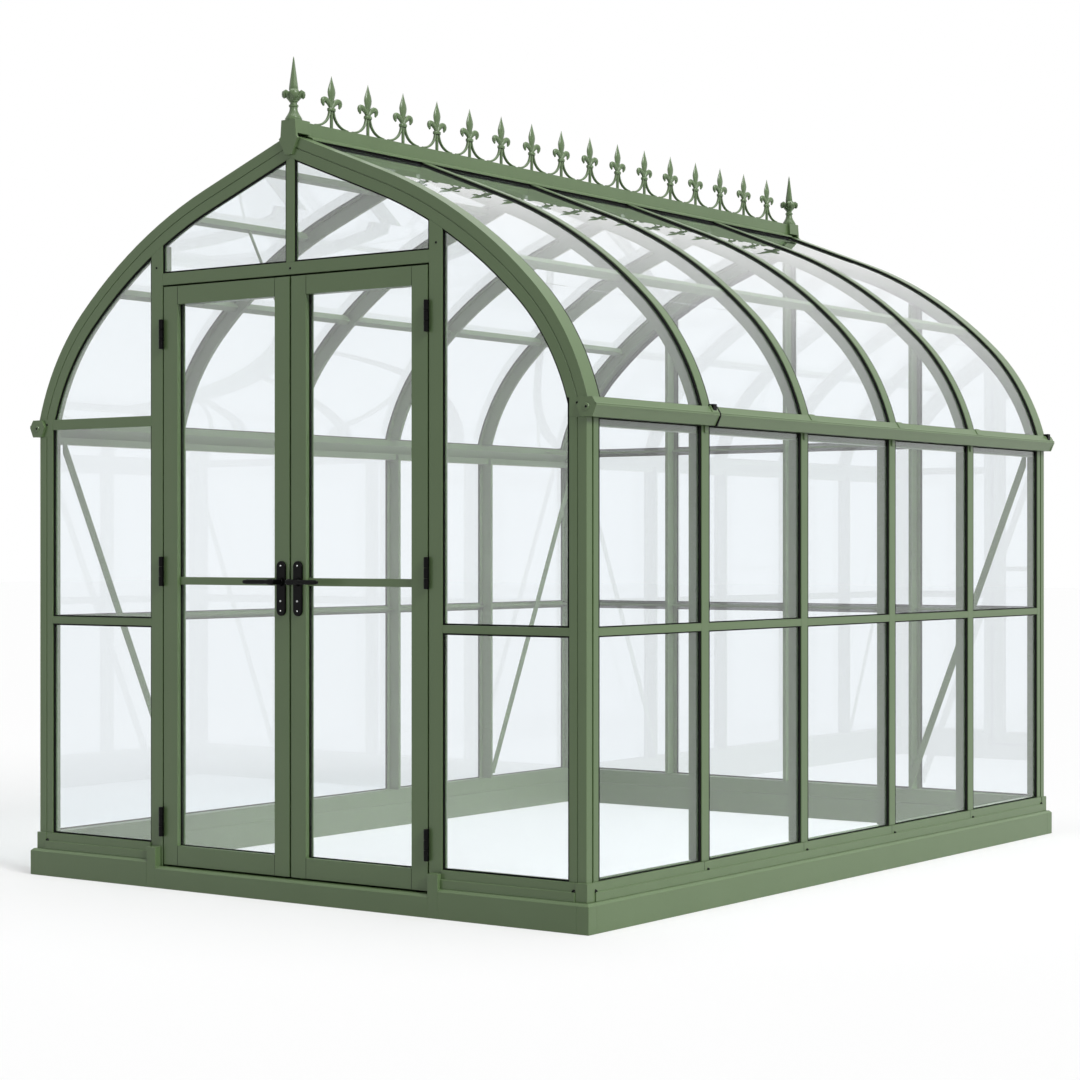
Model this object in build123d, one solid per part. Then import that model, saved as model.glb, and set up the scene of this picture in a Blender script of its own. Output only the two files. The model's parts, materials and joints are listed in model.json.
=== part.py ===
"""Victorian greenhouse with a bowed glass roof, a ridge cresting and a pair of hinged glazed doors.

Millimetres, +Z up, front gable with the doors towards -Y. Each node is one STEP file in parts/.
"""
import os
from math import asin, cos, degrees, radians, sin, tan

from build123d import *

# Plan and heights
plinth_length = 3200.0
plinth_width = 2330.0
plinth_height = 90.0
plinth_thickness = 80.0
plinth_chamfer = 8.0
plinth_corner_size = 42.0
threshold_height = 71.0
wall_inset = 23.0
sill_height = 56.0
sill_step_height = 28.0
sill_inset = 12.0
sill_step = 6.0
sill_thickness = 63.0
eave_height = 1500.0
mid_rail_height = 874.0

# Glazing bars: a flat cap outside, a thinner web inside, the glass behind the cap
cap_thickness = 8.0
post_cap = 42.0
post_web = 14.0
post_depth = 60.0
rail_cap = 24.0
rail_web = 8.0
rail_depth = 30.0
glass_thickness = 4.0
seat_gap = 0.3
bay_count = 5
back_column_count = 4

# Gable frame: corner posts, jambs, arch and the bars over the doors
corner_end = 52.5
gable_body = 50.0
gable_flange = 12.0
corner_body = 50.0
corner_foot_width = 36.0
corner_foot_depth = 33.0
corner_foot_proud = 7.0
corner_groove_width = 8.0
corner_groove_depth = 6.0
corner_groove_from_front = 28.0
face_groove_width = 3.0
face_groove_depth = 3.0
face_groove_from_edge = 28.0
jamb_width = 51.0
jamb_depth = 45.0
jamb_base_inset = 11.0
jamb_base_drop = 12.0
opening_width = 1120.0
transom_bottom = 1986.0
transom_height = 39.0
arch_width = 70.0
mullion_cap = 34.0
mullion_web = 12.0
mullion_depth = 33.0
eave_rail_cap = 35.0
back_post_spread = 585.0

# Roof outline: straight at the ridge, then two arcs down to the eave
roof_foot_overhang = 4.0
roof_foot_rise = 56.0
roof_upper_radius = 1660.0
roof_lower_radius = 797.0
slope_at_ridge = 21.5
slope_between_arcs = 45.0
slope_at_eave = 75.0
purlin_reach_share = 0.738
purlin_width = 22.0
purlin_depth = 28.0
vent_bar_width = 20.0
vent_bar_depth = 24.0
vent_bar_reach_shares = (0.16, 0.44)
vent_stay_radius = 5.0
vent_stay_length = 330.0

# Eave gutter: a flat hexagon with a lip and end caps
gutter_width = 71.0
gutter_height = 58.0
gutter_flat = 41.0
gutter_overhang = 41.0
gutter_cap_thickness = 9.0
gutter_lip_height = 5.0
gutter_lip_depth = 3.0
gutter_brow_rise = 4.0

# Ridge bar, shield caps, finials and cresting
ridge_web = 24.0
ridge_web_depth = 50.0
ridge_lift = 3.0
ridge_flange = 84.0
ridge_flange_thickness = 6.0
ridge_box_width = 40.0
ridge_height = 38.0
shield_top_width = 58.0
shield_width = 66.0
shield_height = 111.0
shield_foot = 28.0
shield_thickness = 10.0
shield_ear = 7.0
shield_ear_share = 0.46
shield_waist_share = 0.36
finial_inset = 16.5
finial_height = 203.0
finial_base_radius = 25.0
finial_neck_radius = 10.0
finial_ring_radius = 14.0
finial_spike_radius = 15.0
finial_tip_radius = 1.5
finial_leaf_count = 4
finial_leaf_reach = 34.0
finial_leaf_height = 34.0
finial_leaf_thickness = 12.0
finial_base_share = 0.05
finial_flare_share = 0.15
finial_ring_share = 0.27
finial_ring_half_share = 0.03
finial_leaf_share = 0.36
finial_spike_share = 0.55
finial_leaf_outer_shares = ((0.0, 0.0), (0.62, 0.30), (0.80, 0.62), (1.0, 0.58), (0.94, 0.92))
finial_leaf_inner_shares = ((0.70, 1.0), (0.36, 0.78), (0.0, 0.70))
fleur_count = 16
fleur_height = 172.0
fleur_thickness = 11.0
fleur_stem = 11.0
fleur_leg_reach = 82.0
fleur_leg_rise = 66.0
fleur_leg_thickness = 8.0
fleur_collar_width = 24.0
fleur_collar_height = 9.0
fleur_collar_thickness = 17.0
fleur_spear_width = 36.0
fleur_spear_thickness = 17.0
fleur_spear_shares = ((0.0, 0.42), (0.40, 1.0), (1.0, 0.06))
fleur_petal_reach = 56.0
fleur_petal_rise = 40.0
fleur_petal_outer_shares = ((0.06, 0.0), (0.26, 0.68), (0.66, 0.98), (1.0, 0.70), (0.94, 0.26))
fleur_petal_inner_shares = ((0.74, 0.26), (0.72, 0.58), (0.44, 0.42), (0.24, 0.0))
fleur_leg_steps = 3

# Flat braces and corner ties
brace_width = 28.0
brace_thickness = 4.0
brace_end_gap = 20.0
tie_reach = 150.0
tie_width = 24.0
tie_thickness = 4.0

# Doors
door_gap = 6.0
meeting_gap = 8.0
door_thickness = 40.0
stile_width = 62.0
top_rail = 60.0
bottom_rail = 65.0
door_bar = 25.0
door_bar_depth = 18.0
handle_height = 1012.0

# Hinges
hinge_height = 97.0
hinge_barrel_radius = 8.5
hinge_pin_radius = 3.5
hinge_leaf_depth = 30.0
hinge_leaf_thickness = 2.2
hinge_gap = 0.5
hinge_low = 218.0
hinge_middle = 1043.0
hinge_high = 1824.0

# Lever handles on long plates
plate_width = 36.0
plate_height = 174.0
plate_thickness = 7.0
plate_above_lever = 66.0
spindle_radius = 4.5
bore_clearance = 0.3
neck_radius = 9.0
neck_gap = 0.5
lever_standoff = 36.0
lever_length = 118.0
lever_boss_height = 20.0
lever_tip_height = 11.0
lever_thickness = 12.0

# Sides of the small round bars, and one overrun for every cut
round_sides = 12
spike_sides = 8
overrun = 20.0

# Planes and lines that several pieces share
half_length = plinth_length / 2
half_width = plinth_width / 2
wall_x = half_width - wall_inset
wall_y = half_length - wall_inset
sill_top = plinth_height + sill_height
post_pitch = (plinth_length - 2 * corner_end) / bay_count
end_post_y = half_length - corner_end
gable_depth = gable_body + gable_flange
gutter_top = eave_height + gutter_height
eave_rail_height = gutter_top - eave_rail_cap / 2
gutter_centre_x = wall_x + gutter_overhang - gutter_width / 2
roof_foot_x = wall_x + roof_foot_overhang
roof_foot_z = eave_height + roof_foot_rise
glass_outer = cap_thickness
glass_inner = cap_thickness + glass_thickness
opening_half = opening_width / 2
jamb_outer = opening_half + jamb_width
transom_top = transom_bottom + transom_height
jamb_base_inner = opening_half + jamb_base_inset
corner_inner_x = wall_x - corner_body - gable_flange
door_front = -wall_y
door_back = door_front + door_thickness
door_bottom = threshold_height + door_gap
door_top = transom_bottom - door_gap
hinge_axis_x = opening_half - door_gap / 2
hinge_axis_y = door_front - hinge_barrel_radius - hinge_gap
hinge_levels = [hinge_low, hinge_middle, hinge_high]
handle_x = meeting_gap / 2 + stile_width / 2
lever_front = plate_thickness + lever_standoff + lever_thickness
front_overhang = lever_front - wall_inset
origin_shift = front_overhang / 2

# Roof outline points, from the eave up to the ridge
lower_centre = (
    roof_foot_x - roof_lower_radius * sin(radians(slope_at_eave)),
    roof_foot_z - roof_lower_radius * cos(radians(slope_at_eave)),
)
radius_step = roof_upper_radius - roof_lower_radius
upper_centre = (
    lower_centre[0] - radius_step * sin(radians(slope_between_arcs)),
    lower_centre[1] - radius_step * cos(radians(slope_between_arcs)),
)
straight_x = upper_centre[0] + roof_upper_radius * sin(radians(slope_at_ridge))
straight_z = upper_centre[1] + roof_upper_radius * cos(radians(slope_at_ridge))
apex_z = straight_z + straight_x * tan(radians(slope_at_ridge))
ridge_top = apex_z + ridge_lift + ridge_height
finial_y = wall_y - finial_inset


# Small building blocks
def slab(x0, x1, y0, y1, z0, z1):
    """Box between two corners."""
    centre = ((x0 + x1) / 2, (y0 + y1) / 2, (z0 + z1) / 2)
    return Pos(*centre) * Box(x1 - x0, y1 - y0, z1 - z0)


def outline(points):
    """Flat face inside a closed run of points in the XY plane."""
    return make_face(Polyline(*points, close=True))


def along_y(face, y0, y1):
    """Solid from a face drawn with its second axis up, run from y0 to y1."""
    upright = Pos(0, y1, 0) * Rot(90, 0, 0) * face
    return extrude(upright, amount=y1 - y0, dir=(0, -1, 0))


def along_x(face, x0, x1):
    """Solid from a face drawn with its first axis along Y and its second axis up, run from x0 to x1."""
    upright = Pos(x0, 0, 0) * Rot(0, 0, 90) * Rot(90, 0, 0) * face
    return extrude(upright, amount=x1 - x0, dir=(1, 0, 0))


def flip_x(shape):
    """Mirror image on the other side of the ridge line."""
    return mirror(shape, about=Plane.YZ)


def flip_y(shape):
    """Mirror image at the other gable."""
    return mirror(shape, about=Plane.XZ)


def save(name, solids):
    """Write one node, with the origin at the middle of the part's base."""
    placed = [Pos(0, origin_shift, 0) * solid for solid in solids]
    shape = placed[0] if len(placed) == 1 else Compound(children=placed)
    export_step(shape, f"parts/{name}.step")


# Roof outline as faces, for a depth below the outer surface
def arc_point(centre, radius, slope):
    """Point of an arc where the roof falls at the given slope."""
    return (centre[0] + radius * sin(radians(slope)), centre[1] + radius * cos(radians(slope)))


def roof_half(depth):
    """Face under the right half of the roof, at a depth below its outer surface."""
    upper = roof_upper_radius - depth
    lower = roof_lower_radius - depth
    top = (0, apex_z - depth / cos(radians(slope_at_ridge)))
    high = arc_point(upper_centre, upper, slope_at_ridge)
    high_mid = arc_point(upper_centre, upper, (slope_at_ridge + slope_between_arcs) / 2)
    joint = arc_point(upper_centre, upper, slope_between_arcs)
    low_mid = arc_point(lower_centre, lower, (slope_between_arcs + slope_at_eave) / 2)
    foot = arc_point(lower_centre, lower, slope_at_eave)
    edges = [
        Line(top, high),
        ThreePointArc(high, high_mid, joint),
        ThreePointArc(joint, low_mid, foot),
        Line(foot, (foot[0], 0)),
        Line((foot[0], 0), (0, 0)),
        Line((0, 0), top),
    ]
    return make_face(edges)


def roof_strip(outer_depth, inner_depth, bottom_z, ridge_x):
    """Face of a strip that follows the right half of the roof between two depths."""
    strip = roof_half(outer_depth) - roof_half(inner_depth)
    keep_width = half_width + gutter_overhang
    keep_height = apex_z - bottom_z + overrun
    keep = Pos(ridge_x + keep_width / 2, bottom_z + keep_height / 2) * Rectangle(keep_width, keep_height)
    return strip & keep


def under_roof(depth, y0, y1):
    """Solid of everything under the whole roof at a depth, between two Y planes."""
    right = along_y(roof_half(depth), y0, y1)
    return right + flip_x(right)


# Glazing bars
def tee_face(cap, web, depth):
    """Section of a glazing bar: outer face on X = 0, web towards -X."""
    return outline(
        [
            (0, -cap / 2),
            (0, cap / 2),
            (-cap_thickness, cap / 2),
            (-cap_thickness, web / 2),
            (-depth, web / 2),
            (-depth, -web / 2),
            (-cap_thickness, -web / 2),
            (-cap_thickness, -cap / 2),
        ]
    )


def tee_post(cap, web, depth, z0, z1):
    """Upright glazing bar."""
    return extrude(Pos(0, 0, z0) * tee_face(cap, web, depth), amount=z1 - z0, dir=(0, 0, 1))


def tee_rail(cap, z, cap_ends, web_ends):
    """Level glazing bar, outer face on X = 0, with its own ends for cap and web along Y."""
    cap_bar = slab(-cap_thickness, 0, cap_ends[0], cap_ends[1], z - cap / 2, z + cap / 2)
    half_web = rail_web / 2
    web_bar = slab(-rail_depth, -cap_thickness, web_ends[0], web_ends[1], z - half_web, z + half_web)
    return cap_bar + web_bar


def on_right(shape):
    """Piece drawn against X = 0, set in the right wall."""
    return Pos(wall_x, 0, 0) * shape


def on_back(shape):
    """Piece drawn against X = 0 with +Y along the wall, set in the back gable."""
    return Pos(0, wall_y, 0) * Rot(0, 0, 90) * shape


post_lines = [-end_post_y + post_pitch * index for index in range(bay_count + 1)]
back_lines = [-back_post_spread, 0, back_post_spread]


# Base: corner covers, side and end runs, threshold under the doors
def plinth_section(height):
    """Section of the base with its outer face on X = 0 and a chamfered top edge."""
    return outline(
        [
            (0, 0),
            (0, height - plinth_chamfer),
            (-plinth_chamfer, height),
            (-plinth_thickness, height),
            (-plinth_thickness, 0),
        ]
    )


def plinth_ring():
    """Whole base as one mitred ring."""
    block = slab(-half_width, half_width, -half_length, half_length, 0, plinth_height)
    top_edges = block.faces().sort_by(Axis.Z)[-1].edges()
    block = chamfer(top_edges, plinth_chamfer)
    inside_x = half_width - plinth_thickness
    inside_y = half_length - plinth_thickness
    return block - slab(-inside_x, inside_x, -inside_y, inside_y, -overrun, plinth_height + overrun)


def build_plinth():
    """Corner pieces, side runs and end runs, all cut from one ring, and the lower run under the doors."""
    ring = plinth_ring()
    corner_x = half_width - plinth_corner_size
    corner_y = half_length - plinth_corner_size
    top = plinth_height + overrun
    corner = ring & slab(corner_x, half_width, corner_y, half_length, 0, top)
    side = ring & slab(half_width - plinth_thickness, half_width, -corner_y, corner_y, 0, top)
    end_y = half_length - plinth_thickness
    back = (ring & slab(-corner_x, corner_x, end_y, half_length, 0, top)) - side - flip_x(side)
    front = (ring & slab(jamb_outer, corner_x, -half_length, -end_y, 0, top)) - side
    save("plinth_corners", [corner, flip_x(corner), flip_y(corner), flip_x(flip_y(corner))])
    save("plinth_sides", [side, flip_x(side)])
    save("plinth_ends", [back, front, flip_x(front)])
    run = along_y(plinth_section(threshold_height), -jamb_base_inner, jamb_base_inner)
    save("door_threshold", [Pos(0, -half_length, 0) * Rot(0, 0, -90) * run])


def sill_section():
    """Two-step sill section, wall side on X = 0 at the plinth face, drawn from the plinth top."""
    return outline(
        [
            (-sill_inset, plinth_height),
            (-sill_inset, plinth_height + sill_step_height),
            (-sill_inset - sill_step, plinth_height + sill_step_height),
            (-sill_inset - sill_step, sill_top),
            (-sill_inset - sill_thickness, sill_top),
            (-sill_inset - sill_thickness, plinth_height),
        ]
    )


def build_sills():
    """Sills between the feet of the corner posts, split at the doors."""
    foot_y = wall_y - corner_foot_depth
    foot_x = wall_x - corner_foot_width
    side = Pos(half_width, 0, 0) * along_y(sill_section(), -foot_y, foot_y)
    back = Pos(0, half_length, 0) * Rot(0, 0, 90) * along_y(sill_section(), -foot_x, foot_x)
    back = back - side - flip_x(side)
    right_half = slab(jamb_outer, half_width, -half_length, 0, 0, sill_top + overrun)
    front_right = flip_y(back) & right_half
    save("sill_rails", [side, flip_x(side), back, front_right, flip_x(front_right)])


# Corner posts and wall posts
def corner_post():
    """Front right corner post with a flange over each pane, two grooves and a foot between the sills."""
    front = -wall_y
    face = outline(
        [
            (wall_x, front),
            (wall_x, front + gable_depth),
            (wall_x - cap_thickness, front + gable_depth),
            (wall_x - cap_thickness, front + gable_body),
            (wall_x - corner_body, front + gable_body),
            (wall_x - corner_body, front + cap_thickness),
            (corner_inner_x, front + cap_thickness),
            (corner_inner_x, front),
        ]
    )
    post = extrude(Pos(0, 0, sill_top) * face, amount=eave_height - sill_top, dir=(0, 0, 1))
    groove_x = corner_inner_x + face_groove_from_edge
    groove_y = front + corner_groove_from_front
    top = eave_height + overrun
    post -= slab(
        groove_x, groove_x + face_groove_width, front - overrun, front + face_groove_depth, sill_top, top
    )
    groove_end = groove_y + corner_groove_width
    post -= slab(wall_x - corner_groove_depth, wall_x + overrun, groove_y, groove_end, sill_top, top)
    foot = slab(
        wall_x - corner_foot_width,
        wall_x + corner_foot_proud,
        front - corner_foot_proud,
        front + corner_foot_depth,
        plinth_height,
        sill_top,
    )
    return post + foot


def build_posts():
    """Corner posts, side wall posts and back gable posts."""
    corner = corner_post()
    save("corner_posts", [corner, flip_x(corner), flip_y(corner), flip_x(flip_y(corner))])
    post = tee_post(post_cap, post_web, post_depth, sill_top, eave_height)
    right = [Pos(0, y, 0) * on_right(post) for y in post_lines[1:-1]]
    save("side_wall_posts", right + [flip_x(solid) for solid in right])
    tall = tee_post(post_cap, post_web, post_depth, sill_top, apex_z)
    room = under_roof(arch_width, wall_y - post_depth - overrun, wall_y + overrun)
    save("back_wall_posts", [(Pos(x, 0, 0) * on_back(tall)) & room for x in back_lines])


# Rails across the walls
def bay_ends(index):
    """Cap ends and web ends of a side rail in one bay."""
    start = post_lines[index]
    stop = post_lines[index + 1]
    cap_ends = [start + post_cap / 2, stop - post_cap / 2]
    web_ends = [start + post_web / 2, stop - post_web / 2]
    if index == 0:
        cap_ends[0] = -wall_y + gable_depth
        web_ends[0] = -wall_y + gable_body
    if index == bay_count - 1:
        cap_ends[1] = wall_y - gable_depth
        web_ends[1] = wall_y - gable_body
    return cap_ends, web_ends


def back_column_ends(index):
    """Cap ends and web ends of a back rail in one column, along the wall from the right."""
    cap_edges = [-corner_inner_x]
    web_edges = [-(wall_x - corner_body)]
    for line in back_lines:
        cap_edges += [line - post_cap / 2, line + post_cap / 2]
        web_edges += [line - post_web / 2, line + post_web / 2]
    cap_edges.append(corner_inner_x)
    web_edges.append(wall_x - corner_body)
    return cap_edges[2 * index:2 * index + 2], web_edges[2 * index:2 * index + 2]


def front_panel_rail(cap, z):
    """Rail of the front panel between the right jamb and the corner post."""
    bar = tee_rail(cap, z, (jamb_outer, corner_inner_x), (jamb_outer - gable_flange, wall_x - corner_body))
    return Pos(0, -wall_y, 0) * Rot(0, 0, -90) * bar


def build_rails():
    """Rails at mid height round the walls and at eave height in the gables."""
    bays = [bay_ends(index) for index in range(bay_count)]
    right = [on_right(tee_rail(rail_cap, mid_rail_height, *ends)) for ends in bays]
    save("side_mid_rails", right + [flip_x(solid) for solid in right])
    columns = [back_column_ends(index) for index in range(back_column_count)]
    back = [on_back(tee_rail(rail_cap, mid_rail_height, *ends)) for ends in columns]
    front = front_panel_rail(rail_cap, mid_rail_height)
    save("gable_mid_rails", back + [front, flip_x(front)])
    back = [on_back(tee_rail(eave_rail_cap, eave_rail_height, *ends)) for ends in columns]
    front = front_panel_rail(eave_rail_cap, eave_rail_height)
    save("gable_eave_rails", back + [flip_x(front)])


# Door surround
def build_door_surround():
    """Jambs up to the arch on bases beside the plinth, the transom and the mullion above it."""
    front = -wall_y
    room = under_roof(arch_width, front - overrun, front + jamb_depth + overrun)
    flange_x = jamb_outer - gable_flange
    body = slab(opening_half, flange_x, front, front + jamb_depth, threshold_height, apex_z)
    flange = slab(flange_x, jamb_outer, front, front + cap_thickness, threshold_height, apex_z)
    base_back = -half_length + plinth_thickness
    base_top = sill_top - jamb_base_drop
    base = slab(jamb_base_inner, jamb_outer, -half_length, base_back, 0, base_top)
    jamb = ((body + flange) & room) + base
    save("door_jambs", [jamb, flip_x(jamb)])
    transom = slab(-opening_half, opening_half, front, front + jamb_depth, transom_bottom, transom_top)
    save("door_transom", [transom & room])
    bar = tee_post(mullion_cap, mullion_web, mullion_depth, transom_top, apex_z)
    save("gable_mullion", [(Pos(0, front, 0) * Rot(0, 0, -90) * bar) & room])


# Arches, ribs, purlins and vent bars
def arch():
    """Front arch: body, flange over the gable glass, flange over the roof glass and a face groove."""
    front = -wall_y
    glass_edge = arch_width - gable_flange
    back = front + gable_body
    body = along_y(roof_strip(0, glass_edge, gutter_top, 0), front, back)
    inner_flange = along_y(roof_strip(glass_edge, arch_width, gutter_top, 0), front, front + cap_thickness)
    outer_flange = along_y(roof_strip(0, cap_thickness, gutter_top, 0), back, front + gable_depth)
    half = body + inner_flange + outer_flange
    foot_x = wall_x - corner_body
    foot = slab(foot_x, gutter_centre_x, front, front + gable_body, eave_height, gutter_top)
    foot_flange = slab(corner_inner_x, foot_x, front, front + cap_thickness, eave_height, gutter_top)
    half = half + foot + foot_flange - gutter_bar(-half_length, half_length)
    middle = arch_width / 2
    groove = roof_strip(middle - face_groove_width / 2, middle + face_groove_width / 2, gutter_top, 0)
    half = half - along_y(groove, front - overrun, front + face_groove_depth)
    return half + flip_x(half)


def roof_rib():
    """Right roof rib centred on Y = 0: cap outside, web inside."""
    ridge_x = ridge_web / 2
    cap = along_y(roof_strip(0, cap_thickness, gutter_top, ridge_x), -post_cap / 2, post_cap / 2)
    web = along_y(roof_strip(cap_thickness, post_depth, gutter_top, ridge_x), -post_web / 2, post_web / 2)
    return cap + web


def roof_bay(index):
    """Y edges of a roof bay between the webs that carry its glass."""
    start = post_lines[index] + post_web / 2
    stop = post_lines[index + 1] - post_web / 2
    if index == 0:
        start = -wall_y + gable_body
    if index == bay_count - 1:
        stop = wall_y - gable_body
    return start, stop


def roof_line(x):
    """Height and slope of the upper roof at a distance from the ridge line."""
    if x <= straight_x:
        return apex_z - x * tan(radians(slope_at_ridge)), slope_at_ridge
    slope = degrees(asin((x - upper_centre[0]) / roof_upper_radius))
    return arc_point(upper_centre, roof_upper_radius, slope)[1], slope


def roof_bar(x, width, depth, y0, y1):
    """Level bar under the right roof glass, square to the roof at a distance from the ridge line."""
    z, slope = roof_line(x)
    section = Pos(0, -glass_inner - seat_gap - depth / 2) * Rectangle(width, depth)
    return along_y(Pos(x, z) * Rot(0, 0, -slope) * section, y0, y1)


def vent_stay(x, y):
    """Rod that hangs square to the roof below a vent bar at a distance from the ridge line."""
    z, slope = roof_line(x)
    below = glass_inner + seat_gap + vent_bar_depth
    rod = Cylinder(vent_stay_radius, vent_stay_length, align=(Align.CENTER, Align.CENTER, Align.MAX))
    return Pos(x, y, z) * Rot(0, slope, 0) * Pos(0, 0, -below) * rod


def build_roof_frame():
    """Gable arches, roof ribs, purlins and the bars of the roof vent."""
    front = arch()
    save("front_arch", [front])
    save("back_arch", [flip_y(front)])
    rib = roof_rib()
    right = [Pos(0, y, 0) * rib for y in post_lines[1:-1]]
    save("right_roof_ribs", right)
    save("left_roof_ribs", [flip_x(solid) for solid in right])
    bays = [roof_bay(index) for index in range(bay_count)]
    purlin_x = purlin_reach_share * roof_foot_x
    purlins = [roof_bar(purlin_x, purlin_width, purlin_depth, *bay) for bay in bays]
    save("roof_purlins", purlins + [flip_x(solid) for solid in purlins])
    upper_x, lower_x = [share * roof_foot_x for share in vent_bar_reach_shares]
    upper = [roof_bar(upper_x, vent_bar_width, vent_bar_depth, *bay) for bay in bays[:2]]
    lower = roof_bar(lower_x, vent_bar_width, vent_bar_depth, *bays[0])
    stay = vent_stay(lower_x, (bays[0][0] + bays[0][1]) / 2)
    save("roof_vent_bars", [flip_x(solid) for solid in upper + [lower + stay]])


# Eave gutters
def gutter_end():
    """Flat hexagon round the gutter's centre, its outer corner a little above the middle."""
    return outline([gutter_corner(*place) for place in gutter_hexagon])


def gutter_corner(x, z):
    """Point of the right gutter's section, from a place relative to its centre."""
    return gutter_centre_x + x, eave_height + gutter_height / 2 + z


gutter_hexagon = [
    (-gutter_width / 2, gutter_brow_rise),
    (-gutter_flat / 2, -gutter_height / 2),
    (gutter_flat / 2, -gutter_height / 2),
    (gutter_width / 2, gutter_brow_rise),
    (gutter_flat / 2, gutter_height / 2),
    (-gutter_flat / 2, gutter_height / 2),
]


def gutter_bar(y0, y1):
    """Right gutter between two Y planes, with a lip under its outer corner."""
    brow = gutter_brow_rise
    step = gutter_width / 2 - gutter_lip_depth
    lip = outline(
        [
            gutter_corner(step, brow - gutter_lip_height),
            gutter_corner(gutter_width / 2 + overrun, brow - gutter_lip_height),
            gutter_corner(gutter_width / 2 + overrun, -gutter_height),
            gutter_corner(gutter_flat / 2 - gutter_lip_depth, -gutter_height),
            gutter_corner(gutter_flat / 2 - gutter_lip_depth, -gutter_height / 2),
        ]
    )
    return along_y(gutter_end() - lip, y0, y1)


def build_gutters():
    """Gutters with a closed end at each gable."""
    bar = gutter_bar(-wall_y, wall_y)
    cap = along_y(gutter_end(), -wall_y - gutter_cap_thickness, -wall_y)
    right = bar + cap + flip_y(cap)
    save("right_eave_gutter", [right])
    save("left_eave_gutter", [flip_x(right)])


# Ridge
def ridge_section():
    """Ridge bar: web between the rib ends, a saddle over the glass and a box on top."""
    web = ridge_web / 2
    flange = ridge_flange / 2
    box = ridge_box_width / 2
    under = seat_gap
    over = seat_gap + ridge_flange_thickness
    right = [
        (web, apex_z - ridge_web_depth),
        (web, roof_line(web)[0] + under),
        (flange, roof_line(flange)[0] + under),
        (flange, roof_line(flange)[0] + over),
        (box, roof_line(box)[0] + over),
        (box, ridge_top),
    ]
    return outline(right + [(-x, z) for x, z in reversed(right)])


def shield():
    """Front shield cap: a plate over the arch apex with a block behind it that closes the ridge."""
    top = ridge_top + ridge_lift
    bottom = top - shield_height
    half = shield_width / 2
    ear_z = bottom + shield_ear_share * shield_height
    right = [
        (shield_foot / 2, bottom),
        (half, bottom + shield_waist_share * shield_height),
        (half + shield_ear, ear_z),
        (half, ear_z + shield_ear),
        (shield_top_width / 2, top),
    ]
    face = outline(right + [(-x, z) for x, z in reversed(right)])
    front = -wall_y
    plate = along_y(face, front - shield_thickness, front)
    block = along_y(face, front, front + gable_depth)
    return plate + (block & slab(-half, half, front, front + gable_depth, apex_z, top))


def share_points(shares, wide, tall, base_z):
    """Outline points from shares of a width and a height, above a base height."""
    return [(across * wide, base_z + up * tall) for across, up in shares]


def finial():
    """Turned finial with four curled leaves and a faceted spike, standing on Z = 0."""
    tall = finial_height
    neck = finial_neck_radius
    half_ring = finial_ring_half_share * tall
    ring_z = finial_ring_share * tall
    leaf_z = finial_leaf_share * tall
    spike_z = finial_spike_share * tall
    profile = [
        (0, 0),
        (finial_base_radius, 0),
        (finial_base_radius, finial_base_share * tall),
        (neck, finial_flare_share * tall),
        (neck, ring_z - half_ring),
        (finial_ring_radius, ring_z),
        (neck, ring_z + half_ring),
        (neck, leaf_z),
        (0, leaf_z),
    ]
    stem = revolve(Rot(90, 0, 0) * outline(profile), axis=Axis.Z)
    sections = [(leaf_z, neck), (spike_z, finial_spike_radius), (tall, finial_tip_radius)]
    spike = loft([Pos(0, 0, z) * RegularPolygon(radius, spike_sides) for z, radius in sections], ruled=True)
    outer = share_points(finial_leaf_outer_shares, finial_leaf_reach, finial_leaf_height, leaf_z)
    inner = share_points(finial_leaf_inner_shares, finial_leaf_reach, finial_leaf_height, leaf_z)
    leaf = along_y(outline(outer + inner), -finial_leaf_thickness / 2, finial_leaf_thickness / 2)
    turned = stem + spike
    for index in range(finial_leaf_count):
        turned += Rot(0, 0, index * 360 / finial_leaf_count) * leaf
    return turned


def fleur_leg():
    """Right leg of a fleur: a bar that sweeps from the collar out along the ridge in a quarter ellipse."""
    angles = [radians(90 * index / fleur_leg_steps) for index in range(fleur_leg_steps + 1)]
    edges = []
    for step in (0, fleur_leg_thickness):
        wide = fleur_leg_reach - fleur_stem / 2 - step
        tall = fleur_leg_rise - step
        edges.append([(fleur_leg_reach - wide * cos(a), fleur_leg_rise - tall * sin(a)) for a in angles])
    return outline(edges[0] + edges[1][::-1])


def fleur_petal(base_z):
    """Right petal of a fleur: it rises from the collar, curls out and turns down to a point."""
    size = (fleur_petal_reach, fleur_petal_rise, base_z)
    shares = fleur_petal_outer_shares + fleur_petal_inner_shares
    return outline(share_points(shares, *size))


def fleur_spear(base_z):
    """Central spear of a fleur, a pointed bud with a ridge down each side."""
    tall = fleur_height - base_z
    sections = []
    for up, share in fleur_spear_shares:
        wide = share * fleur_spear_width / 2
        thick = share * fleur_spear_thickness / 2
        diamond = outline([(thick, 0), (0, wide), (-thick, 0), (0, -wide)])
        sections.append(Pos(0, 0, base_z + up * tall) * diamond)
    return loft(sections, ruled=True)


def fleur():
    """One fleur-de-lis of the cresting, in the YZ plane, standing on Z = 0."""
    collar_top = fleur_leg_rise + fleur_collar_height
    half = fleur_leg() + fleur_petal(collar_top)
    stem = Pos(0, collar_top / 2) * Rectangle(fleur_stem, collar_top)
    face = half + mirror(half, about=Plane.YZ) + stem
    body = along_x(face, -fleur_thickness / 2, fleur_thickness / 2)
    collar = Pos(0, 0, fleur_leg_rise) * Box(
        fleur_collar_thickness,
        fleur_collar_width,
        fleur_collar_height,
        align=(Align.CENTER, Align.CENTER, Align.MIN),
    )
    return body + collar + fleur_spear(collar_top)


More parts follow.
